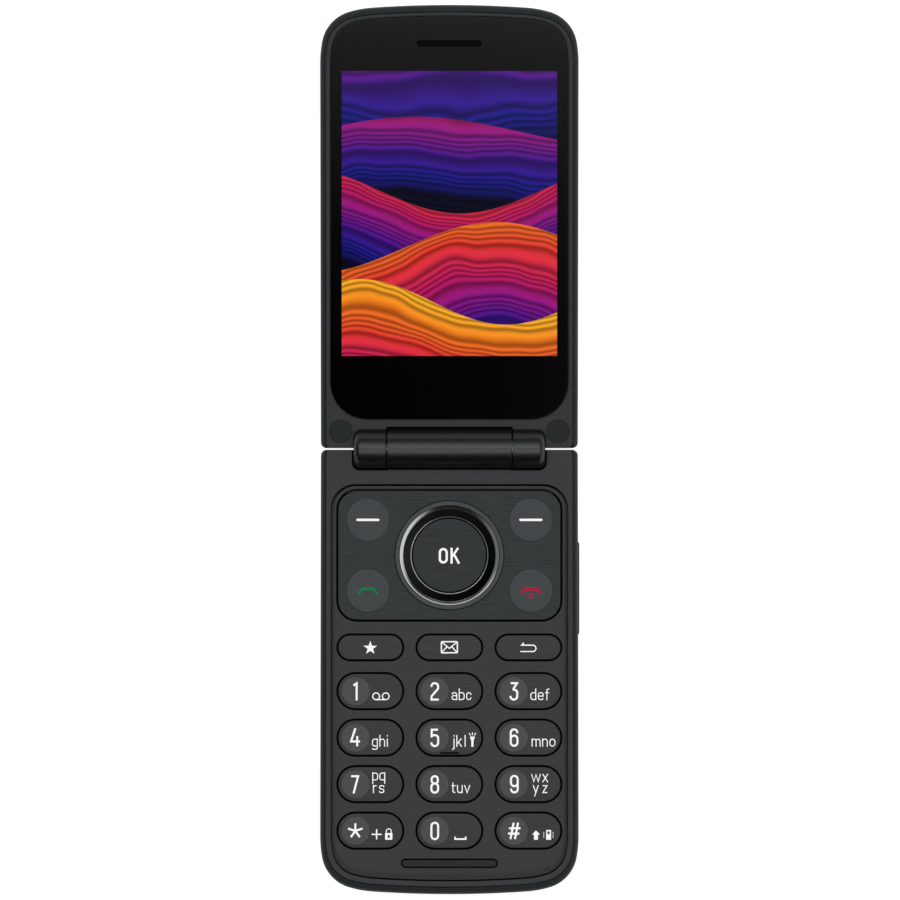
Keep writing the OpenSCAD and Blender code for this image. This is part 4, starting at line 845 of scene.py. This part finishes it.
# signs on the other keys, each as strokes and fills about the key's middle
starReach = np.where(np.arange(10) % 2 == 0, 1.62, 0.63)[:, None]
star = starReach * circle(1.0, count=10)[:, ::-1] - np.array([0.0, 0.12])
envelope = lines(0.29, shut=[loop(-1.8, -1.2, 1.8, 1.3, 0.2)])
envelope += lines(0.25, [(-1.7, 1.2), (0, -0.2), (1.7, 1.2)], [(-1.7, -1.1), (-0.55, 0.15)],
                  [(1.7, -1.1), (0.55, 0.15)])
backHook = lines(0.26, [(-1.45, 0.52), (1.69, 0.52, 0.71), (1.69, -0.92, 0.71), (-1.83, -0.92)])
backBarb = np.array([(-1.89, 0.4), (-1.05, 0.4), (-1.05, 1.22)])
handset = lines(0.54, [(-2.15, -0.75), (-1.3, 0.42, 0.5), (1.3, 0.42, 0.5), (2.15, -0.75)])
hungUp = lines(0.74, [(-2.1, -0.58), (-1.5, 0.38, 0.5), (1.6, 0.38, 0.5), (2.2, -0.58)])
hungUp += lines(0.24, arcPoints(0.1, -1.1, 0.55, np.linspace(40, 320, 18)), [(0.1, -0.4), (0.1, -1.05)])
okWord = lines(0.5, shut=[loop(-2.15, -1.6, -0.6, 1.4, 0.76)]) + lines(0.5, [(0.5, 1.69), (0.5, -1.89)])
okWord += lines(0.48, [(2.0, 1.69), (0.7, -0.2)], [(1.0, 0.3), (2.2, -1.89)])
softBar = stadium(5.24, 0.54, count=6)
signs = {
    "favourites_key": ([], [star], whiteInk), "message_key": (envelope, [], whiteInk),
    "back_key": (backHook, [backBarb], whiteInk), "soft_key_left": ([], [softBar], whiteInk),
    "soft_key_right": ([], [softBar], whiteInk), "call_key": (handset, [], greenInk),
    "end_key": (hungUp, [], redInk), "ok_key": (okWord, [], whiteInk),
}
signAt = {**functionAt, **roundAt, "ok_key": pads["panelAt"]}
for node, (strokes, fills, ink) in signs.items():
    top = level["roundKey" if node in roundAt else "key"]
    legend(node.removesuffix("_key") + "_legend", node + "_body", signAt[node], strokes, fills, ink, top)
print("legends done")

lensForm = {"plan": (2.2, 6.7, 8.3, 0.155), "edge": 0.08, "ear": (14.8, 1.4), "earAt": (0.0, 91.5),
            "earCut": (9.0, 12.0), "window": (-24.3, 21.0, 24.3, 85.3)}
# the picture is layered dunes under a sky, in shares of the window: for each dune its crest height, swing,
# waves across, phase, tone at the crest and tone per height; the sky's tone per height and at the foot; the
# tones' colours; contour lines about 1 mm apart that bunch and spread; and a slow drift that bends them
picture = {"dunes": [(0.79, 0.05, 3.4, 0.4, 0.5, 1.6), (0.58, 0.08, 4.2, 2.4, 0.34, 1.9),
                     (0.38, 0.09, 3.7, 5.2, 0.16, 1.5), (0.19, 0.08, 4.6, 1.2, 0.0, 1.5)],
           "sky": (-0.9, 1.55),
           "tones": [(0.0, "#ffb52c"), (0.12, "#f47a1f"), (0.26, "#e8362f"), (0.42, "#c01a5c"),
                     (0.55, "#8a1683"), (0.68, "#40148c"), (0.8, "#1b1a86"), (0.92, "#070722")],
           "even": 150.0, "slow": 31.0, "bunch": 3.4, "weight": (0.3, 0.7),
           "driftScale": 2.2, "drift": (0.22, -0.11)}
times, timesPlus = {"operation": "MULTIPLY"}, {"operation": "MULTIPLY_ADD"}
plus, minus = {"operation": "ADD"}, {"operation": "SUBTRACT"}
sine, within = {"operation": "SINE"}, {"operation": "COMPARE"}

# black-printed glass over the lit display: a mirror-flat black face with the picture behind its window
lensGlass, tree = blank("blackPrintedGlass")
left, low, right, high = lensForm["window"]
wide, long = right - left, high - low
place = add(tree, "TexCoord").outputs["Object"]
fit = add(tree, "Mapping", {"Vector": place, "Scale": (1 / (wide * mm), 1 / (long * mm), 0),
                            "Location": (-left / wide, -low / long, 0)})
split = add(tree, "SeparateXYZ", {"Vector": fit})
across, up = split.outputs["X"], split.outputs["Y"]
tone = add(tree, "Math", {0: up, 1: picture["sky"][0], 2: picture["sky"][1]}, **timesPlus)
for crest, swing, waves, phase, start, slope in picture["dunes"]:
    angle = add(tree, "Math", {0: across, 1: waves, 2: phase}, **timesPlus)
    wave = add(tree, "Math", {0: angle}, **sine)
    ridge = add(tree, "Math", {0: wave, 1: swing, 2: crest}, **timesPlus)
    depth = add(tree, "Math", {0: ridge, 1: up}, **minus)
    ramped = add(tree, "Math", {0: depth, 1: slope, 2: start}, **timesPlus)
    below = add(tree, "Math", {0: depth, 1: 0.0}, operation="GREATER_THAN")
    tone = add(tree, "Mix", {"Factor": below, "A": tone, "B": ramped})
drift = add(tree, "TexNoise", {"Vector": fit, "Scale": picture["driftScale"], "Detail": 1.5})
sway = add(tree, "Math", {0: drift, 1: picture["drift"][0], 2: picture["drift"][1]}, **timesPlus)
tone = add(tree, "Math", {0: tone, 1: sway}, **plus)
hues = add(tree, "ValToRGB", {"Fac": tone}, [(at, linear(colour)) for at, colour in picture["tones"]])
slow = add(tree, "Math", {0: tone, 1: picture["slow"]}, **times)
swell = add(tree, "Math", {0: slow}, **sine)
even = add(tree, "Math", {0: tone, 1: picture["even"]}, **times)
comb = add(tree, "Math", {0: swell, 1: picture["bunch"], 2: even}, **timesPlus)
line = add(tree, "Math", {0: comb}, **sine)
weight = add(tree, "Math", {0: line, 1: picture["weight"][0], 2: picture["weight"][1]}, **timesPlus)
inX, inY = (add(tree, "Math", {0: share, 1: 0.5, 2: 0.5}, **within) for share in (across, up))
inside = add(tree, "Math", {0: inX, 1: inY}, **times)
lit = add(tree, "Math", {0: inside, 1: weight}, **times)
shader = add(tree, "BsdfPrincipled", {"Base Color": linear("#010101"), "Roughness": 0.05,
                                      "Emission Color": hues, "Emission Strength": lit})
add(tree, "OutputMaterial", {"Surface": shader})


# the lens's outline, set in all round
def lensPlan(inset):
    reach, start, corner, extra = lensForm["plan"]
    return halfPlan(reach + inset, start + inset, corner - inset, extra)


lensRows = [(lensPlan(0.0), level["lensFoot"])]
lensRows += [(lensPlan(i), level["lens"] + z) for i, z in quarterRound(lensForm["edge"])]
piece("screen_glass", [loft(lensRows)], [lensGlass], "lid", ["screen_lens"],
      [prism(stadium(*lensForm["ear"], centre=lensForm["earAt"]), lensForm["earCut"])])

# woven mesh: black wires with open squares between them, drawn at 0.28 mm so that the weave shows
grille = {"pitch": 0.28, "wire": (0.25, 0.5), "rows": ((0.05, 9.45), (0.05, 9.8), (0.15, 9.88))}
meshCloth, tree = blank("wovenMesh")
place = add(tree, "TexCoord").outputs["Object"]
weave = add(tree, "TexVoronoi", {"Vector": place, "Scale": 1 / (grille["pitch"] * mm), "Randomness": 0.0})
wires = add(tree, "MapRange", {"Value": weave, "From Min": grille["wire"][0], "From Max": grille["wire"][1]})
tint = add(tree, "Mix", {0: wires, 6: linear("#010101"), 7: linear("#0a0a0a")}, data_type="RGBA")
shader = add(tree, "BsdfPrincipled", {"Base Color": tint.outputs[2], "Roughness": 0.6,
                                      "Specular IOR Level": 0.05})
add(tree, "OutputMaterial", {"Surface": shader})
grilleRows = [(stadium(*lensForm["ear"], i, lensForm["earAt"]), z) for i, z in grille["rows"]]
piece("ear_grille", [loft(grilleRows)], [meshCloth], "lid", ["earpiece_mesh"])
print("lens done")

# smoked glass: a black printed border round a window a shade lighter, where the small display lies
outerGlass, tree = blank("smokedGlass")
split = add(tree, "SeparateXYZ", {"Vector": add(tree, "TexCoord").outputs["Object"]})
inX, inY = (add(tree, "Math", {0: split.outputs[axis], 1: middle * mm,
                               2: (size / 2 - lidBack["lensBorder"]) * mm}, **within)
            for axis, middle, size in zip("XY", lidBack["lensAt"], lidBack["lens"]))
window = add(tree, "Math", {0: inX, 1: inY}, **times)
tint = add(tree, "Mix", {0: window, 6: linear("#040405"), 7: linear("#16181c")}, data_type="RGBA")
shader = add(tree, "BsdfPrincipled", {"Base Color": tint.outputs[2], "Roughness": 0.06})
add(tree, "OutputMaterial", {"Surface": shader})
face = level["lidBack"]
outerRows = [(i, face - z) for i, z in quarterRound(lidBack["lensEdge"])[::-1]]
outerRows += [(0.0, face + lidBack["lensThick"])]
piece("outer_glass", [loft([(roundRect(*lidBack["lens"], i, lidBack["lensAt"]), z) for i, z in outerRows])],
      [outerGlass], "lid", ["outer_screen_lens"])

# camera window and torch, as (radius, depth from the lid's back); the torch's lens has fine rings
camera = {"trim": ((4.0, 0.5), (4.0, 0.1), (3.9, 0.0), (3.45, 0.0), (3.25, 0.18), (3.25, 0.5)),
          "glass": ((3.28, 0.48), (3.28, 0.2), (2.3, 0.2), (2.2, 0.3), (1.6, 0.42), (1.5, 0.32), (0.9, 0.26),
                    (0.05, 0.24))}
torch = {"thick": 1.1, "depth": 0.05, "ripple": 0.04, "rings": 14.0, "middle": 0.02}
trimSection, glassSection = ([(radius, face + depth) for radius, depth in rows] for rows in camera.values())
piece("camera_trim", [turned(trimSection, lidBack["cameraAt"], closed=True)], [chrome], "lid",
      ["camera_window"])
piece("camera_glass", [turned(glassSection, lidBack["cameraAt"])], [panelGlass], "lid")
radii = np.linspace(lidBack["torchRadius"], torch["middle"], 40)
ripples = face + torch["depth"] + torch["ripple"] * np.cos(radii * torch["rings"])
torchSection = [(lidBack["torchRadius"], face + torch["thick"]), *zip(radii, ripples)]
piece("torch_window", [turned(torchSection, lidBack["torchAt"], 64)], [torchPlastic], "lid",
      ["torch_led"])
print("back done")

# finishes of the solids that stay as they are
kept = {
    blackSiliconeAndPaintedShade: ["keypad_membrane", "nav_actuator"],
    solderMask: ["main_board", "lid_circuit_board"],
    rolledSteel: ["shield_can", "sim_holder", "usb_socket", "dome_sheet", "base_screws", "lid_screws",
                  "hinge_case", "hinge_cam", "hinge_spring", "hinge_shaft", "hinge_bush", "closing_magnet",
                  "vibration_motor", "microphone"],
    goldPlate: ["battery_contacts"],
    batteryWrap: ["battery"],
    devicePlastic: ["loudspeaker", "earpiece_speaker", "camera_module"],
    panelGlass: ["display_panel", "outer_display_panel"],
}
for finish, names in kept.items():
    for name in names:
        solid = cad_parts[name]
        if not solid.material_slots:
            solid.data.materials.append(finish)
        for holder in solid.material_slots:
            holder.material = finish
print("inside finished")

# camera straight above the open phone
view = {"across": 203.1, "height": 1100.0, "centre": (0.14, -0.23), "sensor": 36.0}
eye = bpy.data.objects.new("eye", bpy.data.cameras.new("eye"))
eye.data.sensor_width = view["sensor"]
eye.data.lens = view["sensor"] * view["height"] / view["across"]
eye.location = (view["centre"][0] * mm, view["centre"][1] * mm, (view["height"] + level["rim"]) * mm)
scene.collection.objects.link(eye)
scene.camera = eye

lamp = {"at": (-0.35, 0.55, 1.6), "side": 1.6, "power": 11.2}
overhead = bpy.data.objects.new("overhead", bpy.data.lights.new("overhead", "AREA"))
overhead.data.shape, overhead.data.size, overhead.data.energy = "SQUARE", lamp["side"], lamp["power"]
overhead.location = lamp["at"]
overhead.rotation_euler = Vector(lamp["at"]).to_track_quat("Z", "Y").to_euler()
overhead.visible_glossy = False
scene.collection.objects.link(overhead)

# soft boxes all round: dark straight above, where the lens looks, strips a little way off it, and the right
# and far sides brighter than the left and near ones
sky = {
    # soft edges, as (what they read of the direction, where the edge starts, where it is full, strength)
    "edges": {"base": ("Z", 0.995, 0.87, 0.02), "over": ("offX", 0.45, 0.25, 2.7),
              "strip": ("offY", 0.45, 0.25, 4.2), "farTop": ("Z", 0.45, 0.2, 1.0),
              "farFoot": ("Z", 0.03, 0.17, 1.0), "far": ("Y", 0.2, 0.6, 1.5),
              "right": ("slanted", 0.5, 0.88, 1.05), "left": ("X", -0.4, -0.85, 0.22)},
    "slant": 15.0,  # degrees by which the right side's light comes nearer
    "strip": (8.0, 3.2),  # the strip to the right: degrees off the zenith, and its width
    # brightness over the top from the near side to the far one, as (degrees off the zenith, share)
    "along": [(-60, 0.0), (-38, 0.02), (-27, 0.26), (-15, 0.9), (-9, 1.0), (-6.5, 0.45), (-5, 0.04), (1, 0.0),
              (3, 0.03), (5, 0.14), (8, 0.9), (11, 1.15), (15, 0.95), (27, 0.6), (40, 0.18), (56, 0.0)],
}
world = bpy.data.worlds.new("studio")
scene.world = world
world.use_nodes = True
tree = world.node_tree
tree.nodes.clear()
split = add(tree, "SeparateXYZ", {"Vector": add(tree, "TexCoord").outputs["Generated"]})
reads = {axis: split.outputs[axis] for axis in "XYZ"}
lean = {axis: add(tree, "Math", {0: reads[axis], 1: reads["Z"]}, operation="ARCTAN2") for axis in "XY"}
for axis in "XY":
    reads["off" + axis] = add(tree, "Math", {0: reads[axis]}, operation="ABSOLUTE")
slant = np.radians(sky["slant"])
turnedX = add(tree, "Math", {0: reads["X"], 1: np.cos(slant)}, **times)
reads["slanted"] = add(tree, "Math", {0: reads["Y"], 1: -np.sin(slant), 2: turnedX}, **timesPlus)
edge = {}
for name, (key, first, last, most) in sky["edges"].items():
    limits = {"Value": reads[key], "From Min": first, "From Max": last, "To Max": most}
    edge[name] = add(tree, "MapRange", limits, interpolation_type="SMOOTHSTEP")
turn = add(tree, "Math", {0: lean["Y"], 1: 1 / np.pi, 2: 0.5}, **timesPlus)
over = add(tree, "ValToRGB", {"Fac": turn}, [(degrees / 180 + 0.5, (share, share, share, 1))
                                             for degrees, share in sky["along"]])
# the strip fades as e to the minus square of how many widths a direction is off its middle
stripAt, stripWidth = np.radians(sky["strip"])
away = add(tree, "Math", {0: lean["X"], 1: stripAt}, **minus)
widths = add(tree, "Math", {0: away, 1: stripWidth}, operation="DIVIDE")
square = add(tree, "Math", {0: widths, 1: widths}, **times)
strip = add(tree, "Math", {0: np.exp(-1.0), 1: square}, operation="POWER")
farBand = add(tree, "Math", {0: edge["farTop"], 1: edge["farFoot"]}, **times)
light = edge["base"]
for shape, strength in ((over, "over"), (strip, "strip"), (farBand, "far")):
    light = add(tree, "Math", {0: shape, 1: edge[strength], 2: light}, **timesPlus)
for side in ("right", "left"):
    light = add(tree, "Math", {0: edge[side], 1: light}, **plus)
path = add(tree, "LightPath")
light = add(tree, "Mix", {"Factor": path.outputs["Is Camera Ray"], "A": light, "B": 1.0})
add(tree, "OutputWorld", {"Surface": add(tree, "Background", {"Strength": light})})

# pale paper floor: camera, mirror and glass rays see it near white, and it still takes a shadow; from
# underneath the sheet is clear, so that the back of the phone shows
ground = {"half": 4.0, "z": -0.00002, "glow": 0.65, "glowSeen": 0.25}
floorMesh = bpy.data.meshes.new("floor")
floorMesh.from_pydata([(x * ground["half"], y * ground["half"], ground["z"])
                       for x, y in ((-1, -1), (1, -1), (1, 1), (-1, 1))], [], [(0, 1, 2, 3)])
floor = bpy.data.objects.new("floor", floorMesh)
scene.collection.objects.link(floor)
paper, tree = blank("whitePaper")
path = add(tree, "LightPath")
seen = path.outputs["Is Camera Ray"]
for ray in ("Is Glossy Ray", "Is Transmission Ray"):
    seen = add(tree, "Math", {0: seen, 1: path.outputs[ray]}, operation="MAXIMUM")
glow = add(tree, "Math", {0: seen, 1: ground["glowSeen"], 2: ground["glow"]}, **timesPlus)
shader = add(tree, "BsdfPrincipled", {
    "Base Color": linear("#8c8c8c"), "Roughness": 0.9, "Specular IOR Level": 0.0,
    "Emission Color": (1, 1, 1, 1), "Emission Strength": glow})
under = add(tree, "NewGeometry").outputs["Backfacing"]
both = add(tree, "MixShader", {0: under, 1: shader, 2: add(tree, "BsdfTransparent")})
add(tree, "OutputMaterial", {"Surface": both})
floorMesh.materials.append(paper)
print("camera and light done")

scene.view_settings.view_transform = "Standard"
